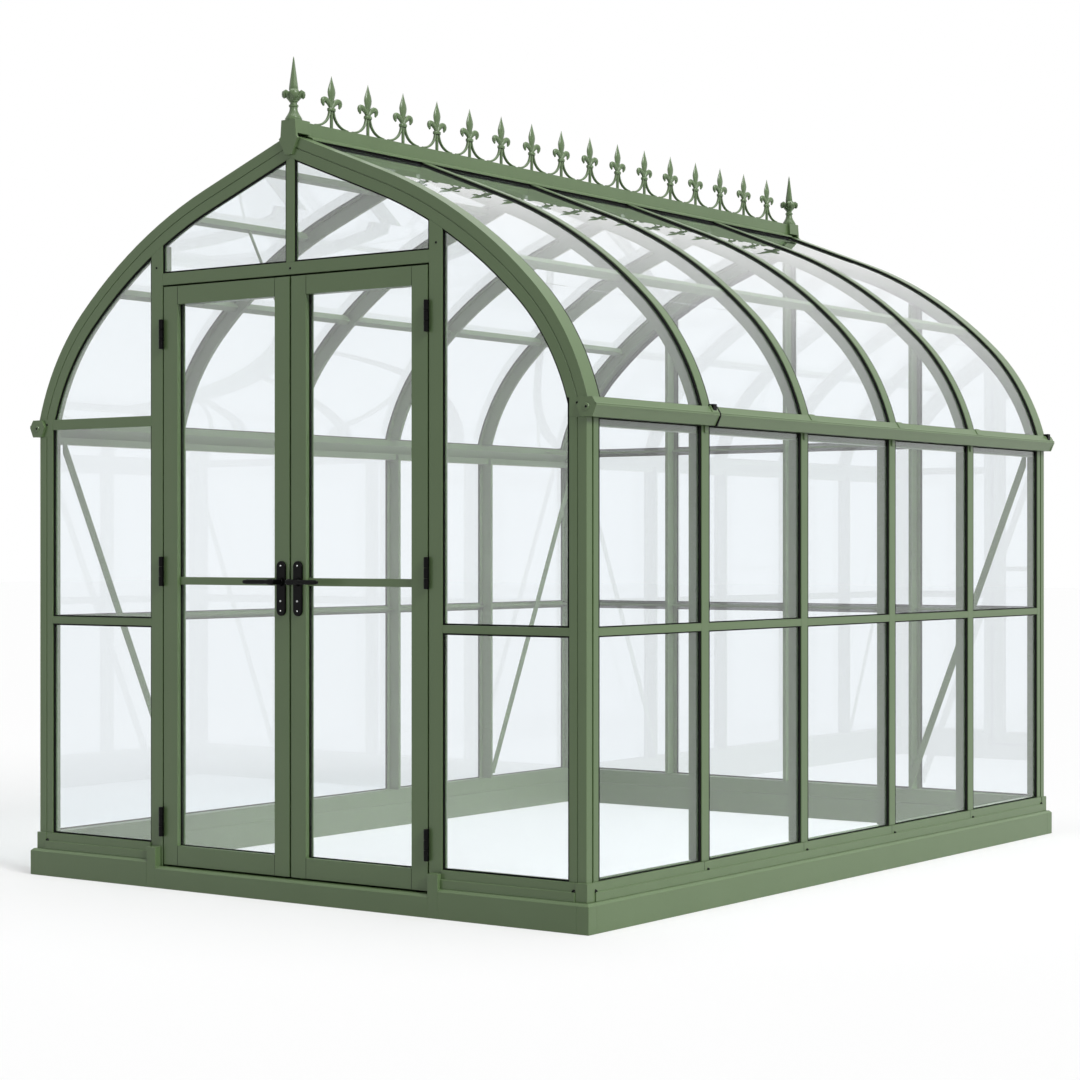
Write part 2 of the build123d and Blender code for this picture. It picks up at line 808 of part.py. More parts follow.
def build_ridge():
    """Ridge bar, shield caps, finials and the row of fleurs."""
    ridge_end = wall_y - gable_depth
    save("ridge_bar", [along_y(ridge_section(), -ridge_end, ridge_end)])
    front = shield() - arch()
    save("ridge_caps", [front, flip_y(front)])
    turned = Pos(0, 0, ridge_top + ridge_lift) * finial()
    save("finials", [Pos(0, -finial_y, 0) * turned, Pos(0, finial_y, 0) * turned])
    pitch = 2 * finial_y / (fleur_count + 1)
    shape = Pos(0, 0, ridge_top) * fleur()
    places = [pitch * (index + 1) - finial_y for index in range(fleur_count)]
    save("ridge_cresting", [Pos(0, y, 0) * shape for y in places])


# Braces and corner ties
def brace(run, z0, z1):
    """Flat bar in the XZ plane from (0, z1) down to (run, z0), its outer face on Y = 0."""
    rise = z1 - z0
    length = (run * run + rise * rise) ** 0.5
    across = brace_width / 2 * length / rise
    down = across * rise / run
    upper = [(0, z1), (across, z1), (run, z0 + down)]
    lower = [(run, z0), (run - across, z0), (0, z1 - down)]
    return along_y(outline(upper + lower), 0, brace_thickness)


def build_braces():
    """Diagonal braces in three panels and flat ties across the corners at the eaves."""
    top = eave_height - brace_end_gap
    bottom = sill_top + brace_end_gap
    inner = wall_x - post_depth
    start = wall_y - gable_body
    run = start - (end_post_y - post_pitch)
    flat = brace(run, bottom, top)
    left_front = Pos(-inner, -start, 0) * Rot(0, 0, 90) * flip_y(flat)
    left_back = flip_y(left_front)
    back_run = wall_x - corner_body - back_post_spread
    back_flat = brace(back_run, bottom, top)
    back = Pos(wall_x - corner_body, wall_y - post_depth, 0) * flip_x(flip_y(back_flat))
    save("wall_braces", [left_front, left_back, back])
    tie_z = eave_rail_height + rail_web / 2
    gable_y = wall_y - glass_inner - seat_gap
    gable_x = wall_x - corner_body - tie_reach
    side_x = gutter_centre_x
    side_y = gable_y - (side_x - gable_x)
    face = outline(
        [
            (gable_x, gable_y),
            (gable_x - tie_width, gable_y),
            (side_x, side_y - tie_width),
            (side_x, side_y),
        ]
    )
    tie = extrude(Pos(0, 0, tie_z) * face, amount=tie_thickness, dir=(0, 0, 1))
    tie = tie - gutter_bar(-half_length, half_length)
    save("corner_ties", [tie, flip_x(tie), flip_x(flip_y(tie))])


# Glass
def pane(x0, x1, z0, z1):
    """Upright pane with its outer face on Y = 0, drawn as seen from outside."""
    return slab(x0 + seat_gap, x1 - seat_gap, 0, glass_thickness, z0 + seat_gap, z1 - seat_gap)


def build_wall_glass():
    """Panes of the side walls and both gables."""
    low = sill_top
    rail_low = mid_rail_height - rail_web / 2
    rail_high = mid_rail_height + rail_web / 2
    rows = [(low, rail_low), (rail_high, eave_height)]
    x1 = wall_x - glass_outer
    x0 = wall_x - glass_inner
    right = []
    for index in range(bay_count):
        y0, y1 = bay_ends(index)[1]
        for z0, z1 in rows:
            right.append(slab(x0, x1, y0 + seat_gap, y1 - seat_gap, z0 + seat_gap, z1 - seat_gap))
    save("right_wall_glass", right)
    save("left_wall_glass", [flip_x(solid) for solid in right])
    eave_low = eave_rail_height - rail_web / 2
    eave_high = eave_rail_height + rail_web / 2
    glass_edge = arch_width - gable_flange + seat_gap
    room = under_roof(glass_edge, -half_length, half_length)
    back = []
    for index in range(back_column_count):
        column = back_column_ends(index)[1]
        for z0, z1 in [(low, rail_low), (rail_high, eave_low), (eave_high, apex_z)]:
            sheet = Pos(0, wall_y - glass_inner, 0) * pane(column[0], column[1], z0, z1)
            back.append(sheet & room)
    save("back_glass", back)
    place = Pos(0, -wall_y + glass_outer, 0)
    side = (jamb_outer - gable_flange, wall_x - corner_body)
    front = [place * pane(*side, low, rail_low), (place * pane(*side, rail_high, apex_z)) & room]
    left_rows = [(low, rail_low), (rail_high, eave_low), (eave_high, apex_z)]
    front += [flip_x((place * pane(*side, z0, z1)) & room) for z0, z1 in left_rows]
    light = (place * pane(mullion_web / 2, opening_half, transom_top, apex_z)) & room
    save("front_glass", front + [light, flip_x(light)])


def build_roof_glass():
    """Bent panes of the roof."""
    ridge_x = ridge_web / 2 + seat_gap
    strip = roof_strip(glass_outer, glass_inner, gutter_top + seat_gap, ridge_x)
    right = []
    for index in range(bay_count):
        y0, y1 = roof_bay(index)
        right.append(along_y(strip, y0 + seat_gap, y1 - seat_gap))
    save("right_roof_glass", right)
    save("left_roof_glass", [flip_x(solid) for solid in right])


# Doors
def round_bar(radius, length):
    """Upright bar of small ironmongery on Z = 0, drawn with few sides."""
    return extrude(RegularPolygon(radius, round_sides), amount=length, dir=(0, 0, 1))


def cross_bar(radius, y0, y1):
    """Round bar on the right lever's axis between two Y planes."""
    return Pos(handle_x, y1, handle_height) * Rot(90, 0, 0) * round_bar(radius, y1 - y0)


def spindle_bore():
    """Cut for the lever's spindle through the right door and both its plates."""
    reach = plate_thickness + overrun
    radius = (spindle_radius + bore_clearance) / cos(radians(180 / round_sides))
    return cross_bar(radius, door_front - reach, door_back + reach)


def leaf_members():
    """Stiles, rails and panes of the right door leaf."""
    inner = meeting_gap / 2
    outer = opening_half - door_gap
    left = slab(inner, inner + stile_width, door_front, door_back, door_bottom, door_top)
    right = slab(outer - stile_width, outer, door_front, door_back, door_bottom, door_top)
    x0 = inner + stile_width
    x1 = outer - stile_width
    low = slab(x0, x1, door_front, door_back, door_bottom, door_bottom + bottom_rail)
    high = slab(x0, x1, door_front, door_back, door_top - top_rail, door_top)
    middle = (door_front + door_back) / 2
    bar_low = handle_height - door_bar / 2
    bar_high = handle_height + door_bar / 2
    bar = slab(x0, x1, middle - door_bar_depth / 2, middle + door_bar_depth / 2, bar_low, bar_high)
    place = Pos(0, middle - glass_thickness / 2, 0)
    lower = place * pane(x0, x1, door_bottom + bottom_rail, bar_low)
    upper = place * pane(x0, x1, bar_high, door_top - top_rail)
    return [left - spindle_bore(), right], [low, high, bar], [lower, upper]


def knuckle(radius, z0, z1):
    """Upright round bar on the right hinge axis."""
    return Pos(hinge_axis_x, hinge_axis_y, z0) * round_bar(radius, z1 - z0)


def hinge_leaf(side, knuckle_spans, z0, z1):
    """Leaf in the gap beside the door, on the jamb (1) or door (-1) side, with a tongue to each knuckle."""
    outer = hinge_axis_x + side * (door_gap / 2 - seat_gap)
    inner = outer - side * hinge_leaf_thickness
    x0 = min(inner, outer)
    x1 = max(inner, outer)
    leaf = slab(x0, x1, door_front, door_front + hinge_leaf_depth, z0, z1)
    for low, high in knuckle_spans:
        leaf += slab(x0, x1, hinge_axis_y, door_front, low, high)
    return leaf


def hinge_pair(level):
    """Jamb half and door half of a right butt hinge: outer knuckles with the pin, and the middle knuckle."""
    third = hinge_height / 3
    low = level - hinge_height / 2
    high = level + hinge_height / 2
    outer_spans = [(low, low + third), (high - third, high)]
    middle_span = (low + third + hinge_gap, high - third - hinge_gap)
    fixed = hinge_leaf(1, outer_spans, low, high) + knuckle(hinge_pin_radius, low, high)
    for span in outer_spans:
        fixed += knuckle(hinge_barrel_radius, *span)
    moving = hinge_leaf(-1, [middle_span], low, high) + knuckle(hinge_barrel_radius, *middle_span)
    bore_radius = (hinge_pin_radius + bore_clearance) / cos(radians(180 / round_sides))
    return fixed, moving - knuckle(bore_radius, *middle_span)


def handle_plates():
    """Outer and inner round-ended plate of the right door handle."""
    end = RegularPolygon(plate_width / 2, round_sides)
    top = handle_height + plate_above_lever - plate_width / 2
    bottom = handle_height + plate_above_lever - plate_height + plate_width / 2
    middle = Pos(handle_x, (top + bottom) / 2) * Rectangle(plate_width, top - bottom)
    face = middle + Pos(handle_x, top) * end + Pos(handle_x, bottom) * end
    outer = along_y(face, door_front - plate_thickness, door_front)
    inner = along_y(face, door_back, door_back + plate_thickness)
    return [outer - spindle_bore(), inner - spindle_bore()]


def lever_arm():
    """Outline of a lever arm that tapers from its boss to a rounded tip."""
    boss = lever_boss_height / 2
    tip = lever_tip_height / 2
    taper = outline([(0, -boss), (lever_length, -tip), (lever_length, tip), (0, boss)])
    end = Pos(lever_length, 0) * RegularPolygon(tip, round_sides)
    return RegularPolygon(boss, round_sides) + taper + end


def lever():
    """Right lever pair on one spindle, pointing to the hinges."""
    face_out = door_front - plate_thickness
    face_in = door_back + plate_thickness
    front = face_out - lever_standoff
    back = face_in + lever_standoff
    arm = Pos(handle_x, handle_height) * lever_arm()
    solid = cross_bar(spindle_radius, front, back)
    solid += cross_bar(neck_radius, front, face_out - neck_gap)
    solid += cross_bar(neck_radius, face_in + neck_gap, back)
    solid += along_y(arm, front - lever_thickness, front)
    solid += along_y(arm, back, back + lever_thickness)
    return solid


def build_doors():
    """Both leaves with their glass, hinges, plates and levers."""
    stiles, rails, panes = leaf_members()
    hinges = [hinge_pair(level) for level in hinge_levels]
    fixed = [pair[0] for pair in hinges]
    iron = [pair[1] for pair in hinges] + handle_plates()
    turned = lever()
    for name, flip in (("right", None), ("left", flip_x)):
        for node, solids in (
            ("door_stiles", stiles),
            ("door_rails", rails),
            ("door_glass", panes),
            ("door_ironmongery", iron),
            ("door_lever", [turned]),
        ):
            save(f"{name}_{node}", [flip(solid) if flip else solid for solid in solids])
    save("jamb_hinges", fixed + [flip_x(solid) for solid in fixed])


os.makedirs("parts", exist_ok=True)
build_plinth()
build_sills()
build_posts()
build_rails()
build_door_surround()
build_roof_frame()
build_gutters()
build_ridge()
build_braces()
build_wall_glass()
build_roof_glass()
build_doors()
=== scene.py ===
import json
import logging
import math
from collections.abc import Iterable
from dataclasses import dataclass, field
from enum import Enum

import bmesh
import bpy
from bmesh.types import BMEdge, BMFace, BMVert
from bpy.types import Material, Mesh, Node, NodeSocket, NodeTree
from mathutils import Matrix, Vector


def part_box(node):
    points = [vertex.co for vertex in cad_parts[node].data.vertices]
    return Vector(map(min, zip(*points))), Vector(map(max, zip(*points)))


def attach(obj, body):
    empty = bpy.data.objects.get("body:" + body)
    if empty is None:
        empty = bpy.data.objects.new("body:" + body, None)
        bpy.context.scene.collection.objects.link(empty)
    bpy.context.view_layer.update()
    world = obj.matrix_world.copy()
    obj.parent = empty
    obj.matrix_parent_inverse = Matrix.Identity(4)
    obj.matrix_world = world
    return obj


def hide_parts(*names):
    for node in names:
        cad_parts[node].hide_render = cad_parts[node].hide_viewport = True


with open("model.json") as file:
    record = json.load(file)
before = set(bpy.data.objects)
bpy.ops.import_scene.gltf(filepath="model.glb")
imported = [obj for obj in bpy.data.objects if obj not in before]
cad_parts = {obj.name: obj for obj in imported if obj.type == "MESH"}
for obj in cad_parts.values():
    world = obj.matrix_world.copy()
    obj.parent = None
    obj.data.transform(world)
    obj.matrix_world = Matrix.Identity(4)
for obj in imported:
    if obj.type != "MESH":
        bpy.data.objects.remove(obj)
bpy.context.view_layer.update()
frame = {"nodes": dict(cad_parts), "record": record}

MM = 0.001
# Distance within which two points count as one
SAME_PLACE = 0.01 * MM
# Turns between two faces: still one plane, edge that is rounded, edge that is shaded as sharp
FLAT_TURN = math.radians(0.4)
ROUNDED_TURN = math.radians(30)
SHARP_TURN = math.radians(40)
X_AXIS = Vector((1.0, 0.0, 0.0))
Y_AXIS = Vector((0.0, 1.0, 0.0))
Z_AXIS = Vector((0.0, 0.0, 1.0))

log = logging.getLogger("greenhouse")


class Body(Enum):
    """Bodies that a piece can ride on."""

    FRAME = "frame"
    LEFT_DOOR = "left_door"
    RIGHT_DOOR = "right_door"
    LEFT_LEVER = "left_lever"
    RIGHT_LEVER = "right_lever"


class Slot(Enum):
    """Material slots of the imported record."""

    GREEN = "green_powder_coat"
    GLASS = "clear_glass"
    BLACK = "black_ironmongery"


class Side(Enum):
    """Left and right half of the building, seen from the doors."""

    LEFT = -1
    RIGHT = 1

    @property
    def word(self) -> str:
        """Name of the side in node names."""
        return self.name.lower()

    @property
    def door(self) -> Body:
        """Body of the door on this side."""
        return Body(f"{self.word}_door")

    @property
    def lever(self) -> Body:
        """Body of the lever on this side."""
        return Body(f"{self.word}_lever")


# Finishes
def linear(colour: str) -> tuple[float, float, float, float]:
    """Turn an sRGB hex colour into linear light.

    Args:
        colour: six hex digits with a leading hash.

    Returns:
        Red, green, blue and an alpha of one.
    """
    parts = [int(colour[index:index + 2], 16) / 255 for index in (1, 3, 5)]
    bent = [part / 12.92 if part <= 0.04045 else ((part + 0.055) / 1.055) ** 2.4 for part in parts]
    return (bent[0], bent[1], bent[2], 1.0)


def add_node(
    tree: NodeTree, kind: str, links: dict[str | int, object] | None = None, **settings: object
) -> Node:
    """Add one shader node with its settings, values and links.

    Args:
        tree: node tree of the material.
        kind: Blender's type name of the node.
        links: input name or index to a value or to the output socket that feeds it.
        settings: attributes of the node.

    Returns:
        The new node.
    """
    node = tree.nodes.new(kind)
    for name, value in settings.items():
        setattr(node, name, value)
    for name, value in (links or {}).items():
        socket = node.inputs[name]
        if isinstance(value, NodeSocket):
            tree.links.new(value, socket)
        else:
            socket.default_value = value
    return node


def reckon(tree: NodeTree, operation: str, first: object, second: object) -> NodeSocket:
    """Add a node that works out one value from two.

    Args:
        tree: node tree of the material or world.
        operation: Blender's name of the operation.
        first: first value, or the output socket that gives it.
        second: second value, or the output socket that gives it.

    Returns:
        The output socket with the result.
    """
    return add_node(tree, "ShaderNodeMath", {0: first, 1: second}, operation=operation).outputs[0]


def speckle(tree: NodeTree, size_mm: float, detail: float) -> NodeSocket:
    """Add a noise pattern that stays with the object.

    Args:
        tree: node tree of the material.
        size_mm: size of one feature in millimetres.
        detail: number of finer layers.

    Returns:
        The output socket with the pattern.
    """
    place = add_node(tree, "ShaderNodeTexCoord").outputs["Object"]
    values = {"Vector": place, "Scale": 1000.0 / size_mm, "Detail": detail}
    return add_node(tree, "ShaderNodeTexNoise", values).outputs["Fac"]


def uneven(tree: NodeTree, pattern: NodeSocket, middle: float, swing: float) -> NodeSocket:
    """Add a value that swings with a pattern.

    Args:
        tree: node tree of the material.
        pattern: output socket with the pattern.
        middle: middle of the value.
        swing: most that it differs from the middle.

    Returns:
        The output socket with the value.
    """
    values = {"Value": pattern, "To Min": middle - swing, "To Max": middle + swing}
    return add_node(tree, "ShaderNodeMapRange", values).outputs["Result"]


def seen_directly(tree: NodeTree) -> NodeSocket:
    """Give one for what the camera sees, also by mirrors and through glass, and zero for scattered light.

    Args:
        tree: node tree of the material or world.

    Returns:
        The output socket with the value.
    """
    path = add_node(tree, "ShaderNodeLightPath")
    seen = path.outputs["Is Camera Ray"]
    for kind in ("Is Glossy Ray", "Is Transmission Ray"):
        seen = reckon(tree, "MAXIMUM", seen, path.outputs[kind])
    unscattered = reckon(tree, "LESS_THAN", path.outputs["Diffuse Depth"], 0.5)
    return reckon(tree, "MULTIPLY", seen, unscattered)


@dataclass(frozen=True)
class Finish:
    """A surface finish, built once as a material.

    Attributes:
        title: name of the material.
    """

    title: str

    def material(self) -> Material:
        """Give the finish's material, building it on first use."""
        found = bpy.data.materials.get(self.title)
        if found:
            return found
        made = bpy.data.materials.new(self.title)
        made.use_nodes = True
        made.node_tree.nodes.clear()
        self.draw(made.node_tree)
        return made

    def draw(self, tree: NodeTree) -> None:
        """Add the finish's nodes to an empty tree.

        Args:
            tree: node tree of the new material.
        """
        raise NotImplementedError


@dataclass(frozen=True)
class SatinSkin(Finish):
    """Satin skin with a fine orange peel and slight drifts of tone: baked powder, epoxy or moulded rubber.

    Attributes:
        colour: main colour.
        pale: colour where the film lies thin and light.
        roughness: middle roughness.
        specular: strength of its mirror share, where one half is usual.
        peel_mm: size of the orange peel, drawn coarser than the real half millimetre so that it shows.
        drift_mm: size of the drifts of tone.
        peel_depth_mm: height of the orange peel.
        peel_strength: share of that height that the light shows.
        gloss_swing: most that the roughness differs from its middle.
        ior: refractive index of the film.
    """

    colour: str
    pale: str
    roughness: float
    specular: float = 0.5
    peel_mm: float = 3.0
    drift_mm: float = 260.0
    peel_depth_mm: float = 0.2
    peel_strength: float = 0.06
    gloss_swing: float = 0.06
    ior: float = 1.5

    def draw(self, tree: NodeTree) -> None:
        """Add the skin's nodes.

        Args:
            tree: node tree of the new material.
        """
        drift = speckle(tree, self.drift_mm, detail=3.0)
        tone = add_node(
            tree,
            "ShaderNodeMix",
            {0: drift, 6: linear(self.colour), 7: linear(self.pale)},
            data_type="RGBA",
        )
        peel = speckle(tree, self.peel_mm, detail=2.0)
        bump = add_node(
            tree,
            "ShaderNodeBump",
            {"Height": peel, "Strength": self.peel_strength, "Distance": self.peel_depth_mm * MM},
        )
        coat = add_node(
            tree,
            "ShaderNodeBsdfPrincipled",
            {
                "Base Color": tone.outputs[2],
                "Roughness": uneven(tree, peel, self.roughness, self.gloss_swing),
                "Normal": bump.outputs["Normal"],
                "Specular IOR Level": self.specular,
                "IOR": self.ior,
            },
        )
        add_node(tree, "ShaderNodeOutputMaterial", {"Surface": coat.outputs["BSDF"]})


@dataclass(frozen=True)
class BrightSteel(Finish):
    """Zinc-plated steel of screw heads: bright, with a fine brushed haze.

    Attributes:
        colour: metal colour.
        roughness: middle roughness.
        haze_mm: size of the haze, drawn coarser than the real scratches so that it shows.
        gloss_swing: most that the roughness differs from its middle.
    """

    colour: str
    roughness: float
    haze_mm: float = 1.5
    gloss_swing: float = 0.1

    def draw(self, tree: NodeTree) -> None:
        """Add the steel's nodes.

        Args:
            tree: node tree of the new material.
        """
        haze = speckle(tree, self.haze_mm, detail=2.0)
        gloss = uneven(tree, haze, self.roughness, self.gloss_swing)
        steel = add_node(
            tree,
            "ShaderNodeBsdfPrincipled",
            {"Base Color": linear(self.colour), "Metallic": 1.0, "Roughness": gloss},
        )
        add_node(tree, "ShaderNodeOutputMaterial", {"Surface": steel.outputs["BSDF"]})


@dataclass(frozen=True)
class ClearGlass(Finish):
    """Float glass: clear and smooth, with a faint cool tint and a film of dust that veils what is behind it.

    Attributes:
        tint: colour that a pane leaves of white light.
        shade: colour that one face leaves of the lamps' light.
        film: share of the light that the film scatters.
        ior: refractive index; a value above that of plain glass stands for a veil of reflections.
    """

    tint: str
    shade: str
    film: float
    ior: float

    def draw(self, tree: NodeTree) -> None:
        """Add the glass nodes.

        Args:
            tree: node tree of the new material.
        """
        glass = add_node(
            tree,
            "ShaderNodeBsdfPrincipled",
            {
                "Base Color": linear(self.tint),
                "Roughness": 0.0,
                "IOR": self.ior,
                "Transmission Weight": 1.0 - self.film,
            },
        )
        clear = add_node(tree, "ShaderNodeBsdfTransparent", {"Color": linear(self.shade)})
        path = add_node(tree, "ShaderNodeLightPath")
        mixed = add_node(
            tree,
            "ShaderNodeMixShader",
            {0: path.outputs["Is Shadow Ray"], 1: glass.outputs["BSDF"], 2: clear.outputs["BSDF"]},
        )
        add_node(tree, "ShaderNodeOutputMaterial", {"Surface": mixed.outputs["Shader"]})


@dataclass(frozen=True)
class StudioPaper(Finish):
    """Matt studio floor that reads as white to the camera and keeps soft shadows.

    Attributes:
        colour: paper colour.
        lift: light added for the camera, mirrors and glass.
    """

    colour: str
    lift: float

    def draw(self, tree: NodeTree) -> None:
        """Add the paper's nodes.

        Args:
            tree: node tree of the new material.
        """
        paper = add_node(tree, "ShaderNodeBsdfDiffuse", {"Color": linear(self.colour)})
        strength = reckon(tree, "MULTIPLY", seen_directly(tree), self.lift)
        glow = add_node(tree, "ShaderNodeEmission", {"Strength": strength})
        both = add_node(tree, "ShaderNodeAddShader", {0: paper.outputs["BSDF"], 1: glow.outputs["Emission"]})
        add_node(tree, "ShaderNodeOutputMaterial", {"Surface": both.outputs["Shader"]})


# Soft moss green of the frame: satin, with slight drifts of tone
MOSS_COAT = SatinSkin("moss_green_powder_coat", colour="#5c724b", pale="#647a54", roughness=0.3)
# Deep black of levers, hinges and bolts, with a soft sheen
BLACK_COAT = SatinSkin(
    "black_epoxy_coat", colour="#030303", pale="#080808", roughness=0.3, specular=0.1, peel_mm=2.0
)
# Dull black of the rubber seals round the panes, also used as painted shade in the door reveals, the gaps
# round the doors and the sill seams
SEAL_AND_SHADE_BLACK = SatinSkin(
    "black_seal_and_painted_shade", colour="#040404", pale="#090909", roughness=0.6, specular=0.12, peel_mm=2.5
)
# Small bright dots on the handle plates
SCREW_STEEL = BrightSteel("zinc_plated_steel", colour="#b9bcbc", roughness=0.32)
# Side walls that are nearly colourless, with a faint cool tint
GLASS = ClearGlass("clear_float_glass", tint="#f7fafc", shade="#eff3f3", film=0.008, ior=1.52)
# Gables and doors under a pale veil of reflections
GABLE_GLASS = ClearGlass("glossy_gable_glass", tint="#f8fbfd", shade="#eff3f3", film=0.012, ior=1.95)
# Bent roof panes that throw a soft grey shade
BENT_GLASS = ClearGlass("bent_roof_glass", tint="#f8fbfd", shade="#dfe4e4", film=0.018, ior=1.55)
# White floor that keeps a soft shadow
PAPER = StudioPaper("matt_studio_paper", colour="#c8c8c8", lift=0.36)


# Making pieces
def edges_at(corners: Iterable[BMVert]) -> list[BMEdge]:
    """Edges that meet at some corners, each once and in a fixed order."""
    return list({edge: None for corner in corners for edge in corner.link_edges})


def corners_in(shape: Iterable[BMVert | BMEdge | BMFace]) -> list[BMVert]:
    """Corners in a mixed list of corners, edges and faces."""
    return [item for item in shape if isinstance(item, BMVert)]


@dataclass(frozen=True)
class Station:
    """One cross-section of a swept bar.

    Attributes:
        centre: middle of the section.
        across: half axis of the section in the plane of the sweep.
        thick: half axis across that plane.
    """

    centre: Vector
    across: Vector
    thick: Vector


@dataclass(frozen=True)
class Stud:
    """Round head of a bolt or a screw, or a boss, in metres.

    Attributes:
        height: height above the face.
        foot: radius at the face.
        top: radius at its top.
        sides: faces round it.
    """

    height: float
    foot: float
    top: float
    sides: int


class Bench:
    """One piece in the making, as a bmesh with the steps that the fittings share."""

    def __init__(self) -> None:
        """Start with an empty mesh."""
        self.mesh = bmesh.new()

    def copy_node(self, node: str, edge: float) -> None:
        """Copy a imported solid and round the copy's sharp edges.

        Args:
            node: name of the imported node.
            edge: width of the rounding in metres.
        """
        self.mesh.from_mesh(frame["nodes"][node].data)
        bmesh.ops.remove_doubles(self.mesh, verts=self.mesh.verts, dist=SAME_PLACE)
        bmesh.ops.dissolve_limit(
            self.mesh,
            angle_limit=FLAT_TURN,
            use_dissolve_boundaries=False,
            verts=self.mesh.verts,
            edges=self.mesh.edges,
            delimit=set(),
        )
        self.round_sharp(self.mesh.edges, edge)

    def round_sharp(self, edges: Iterable[BMEdge], width: float, segments: int = 2) -> None:
        """Round the edges at which two faces meet at a clear angle.

        Args:
            edges: edges to look through.
            width: width of the rounding in metres.
            segments: steps across each rounding.
        """
        joints = [edge for edge in edges if len(edge.link_faces) == 2]
        sharp = [edge for edge in joints if edge.calc_face_angle(0.0) > ROUNDED_TURN]
        self.bevel(sharp, width, segments)

    def bevel(self, edges: list[BMEdge], width: float, segments: int) -> list[BMVert]:
        """Round some edges.

        Args:
            edges: edges to round.
            width: width of the rounding in metres.
            segments: steps across each rounding.

        Returns:
            The corners of the rounded edges.
        """
        return bmesh.ops.bevel(
            self.mesh,
            geom=edges,
            offset=width,
            offset_type="OFFSET",
            segments=segments,
            profile=0.5,
            affect="EDGES",
            clamp_overlap=True,
            material=-1,
        )["verts"]

    def face_outwards(self, before: set[BMFace]) -> None:
        """Turn the faces that were added since a set of faces was taken outwards."""
        added = [face for face in self.mesh.faces if face not in before]
        bmesh.ops.recalc_face_normals(self.mesh, faces=added)

    def block(self, low: Vector, high: Vector, turn: Matrix | None = None) -> list[BMVert]:
        """Add a square block.

        Args:
            low: lowest corner.
            high: highest corner.
            turn: matrix that is applied to the placed block.

        Returns:
            The block's corners.
        """
        size = high - low
        place = Matrix.Translation((low + high) / 2) @ Matrix.Diagonal((size.x, size.y, size.z, 1.0))
        if turn:
            place = turn @ place
        return bmesh.ops.create_cube(self.mesh, size=1.0, matrix=place)["verts"]

    def rod(
        self, start: Vector, end: Vector, radius: float, end_radius: float | None = None, sides: int = 20
    ) -> None:
        """Add a round bar or cone between two points.

        Args:
            start: middle of the first end.
            end: middle of the second end.
            radius: radius at the first end.
            end_radius: radius at the second end, the same where it isn't given.
            sides: faces round it.
        """
        line = end - start
        turn = line.to_track_quat("Z", "Y").to_matrix().to_4x4()
        bmesh.ops.create_cone(
            self.mesh,
            cap_ends=True,
            segments=sides,
            radius1=radius,
            radius2=radius if end_radius is None else end_radius,
            depth=line.length,
            matrix=Matrix.Translation((start + end) / 2) @ turn,
        )

    def stud(self, shape: Stud, place: Vector, out: Vector) -> None:
        """Add a round head on a face.

        Args:
            shape: measures of the head.
            place: middle of its foot.
            out: direction out of the face.
        """
        self.rod(place, place + out * shape.height, shape.foot, shape.top, shape.sides)

    def surround(self, low: Vector, high: Vector, bead: float) -> None:
        """Add four bars inside the edges of a thin upright box.

        Args:
            low: lowest corner of the box.
            high: highest corner of the box.
            bead: width of the bars.
        """
        run = X_AXIS if high.x - low.x > high.y - low.y else Y_AXIS
        span = (high - low).dot(run) - bead
        rise = high.z - low.z - bead
        self.block(low, high - Z_AXIS * rise)
        self.block(low + Z_AXIS * rise, high)
        self.block(low + Z_AXIS * bead, high - run * span - Z_AXIS * bead)
        self.block(low + run * span + Z_AXIS * bead, high - Z_AXIS * bead)

    def sweep(self, stations: list[Station], sides: int = 10) -> None:
        """Add a bar through a row of oval sections, closed at both ends.

        Args:
            stations: sections from one end to the other.
            sides: faces round the bar.
        """
        rings = []
        for station in stations:
            along = station.across.cross(station.thick).normalized()
            place = Matrix((station.across, station.thick, along)).transposed().to_4x4()
            place.translation = station.centre
            ring = bmesh.ops.create_circle(
                self.mesh, cap_ends=False, segments=sides, radius=1.0, matrix=place
            )
            rings.append(edges_at(ring["verts"]))
        faces = []
        for first, last in zip(rings, rings[1:]):
            faces += bmesh.ops.bridge_loops(self.mesh, edges=first + last)["faces"]
        for ring in (rings[0], rings[-1]):
            faces += bmesh.ops.edgeloop_fill(self.mesh, edges=ring)["faces"]
        bmesh.ops.recalc_face_normals(self.mesh, faces=faces)

    def turn_profile(self, points: list[tuple[float, float]], place: Vector, steps: int = 32) -> None:
        """Turn a profile round an upright axis.

        Args:
            points: radius and height of each point, from the foot up.
            place: foot of the axis.
            steps: faces round the axis.
        """
        verts = [self.mesh.verts.new(place + Vector((radius, 0.0, height))) for radius, height in points]
        edges = [self.mesh.edges.new(pair) for pair in zip(verts, verts[1:])]
        before = set(self.mesh.faces)
        bmesh.ops.spin(
            self.mesh,
            geom=verts + edges,
            cent=place,
            axis=Z_AXIS,
            angle=math.tau,
            steps=steps,
            use_merge=True,
        )
        faces = [face for face in self.mesh.faces if face not in before]
        corners = list({vert: None for face in faces for vert in face.verts})
        bmesh.ops.remove_doubles(self.mesh, verts=corners, dist=SAME_PLACE)
        self.face_outwards(before)

    def mirror(self, axis: str) -> None:
        """Add the mirror image of everything so far.

        Args:
            axis: X or Y, the direction that is turned round.
        """
        everything = self.mesh.verts[:] + self.mesh.edges[:] + self.mesh.faces[:]
        bmesh.ops.mirror(self.mesh, geom=everything, matrix=Matrix.Identity(4), merge_dist=-1.0, axis=axis)
        bmesh.ops.recalc_face_normals(self.mesh, faces=self.mesh.faces)

    def reflect(self) -> None:
        """Move everything so far to the other side of the building."""
        bmesh.ops.scale(self.mesh, vec=Vector((-1.0, 1.0, 1.0)), verts=self.mesh.verts)
        bmesh.ops.reverse_faces(self.mesh, faces=self.mesh.faces)

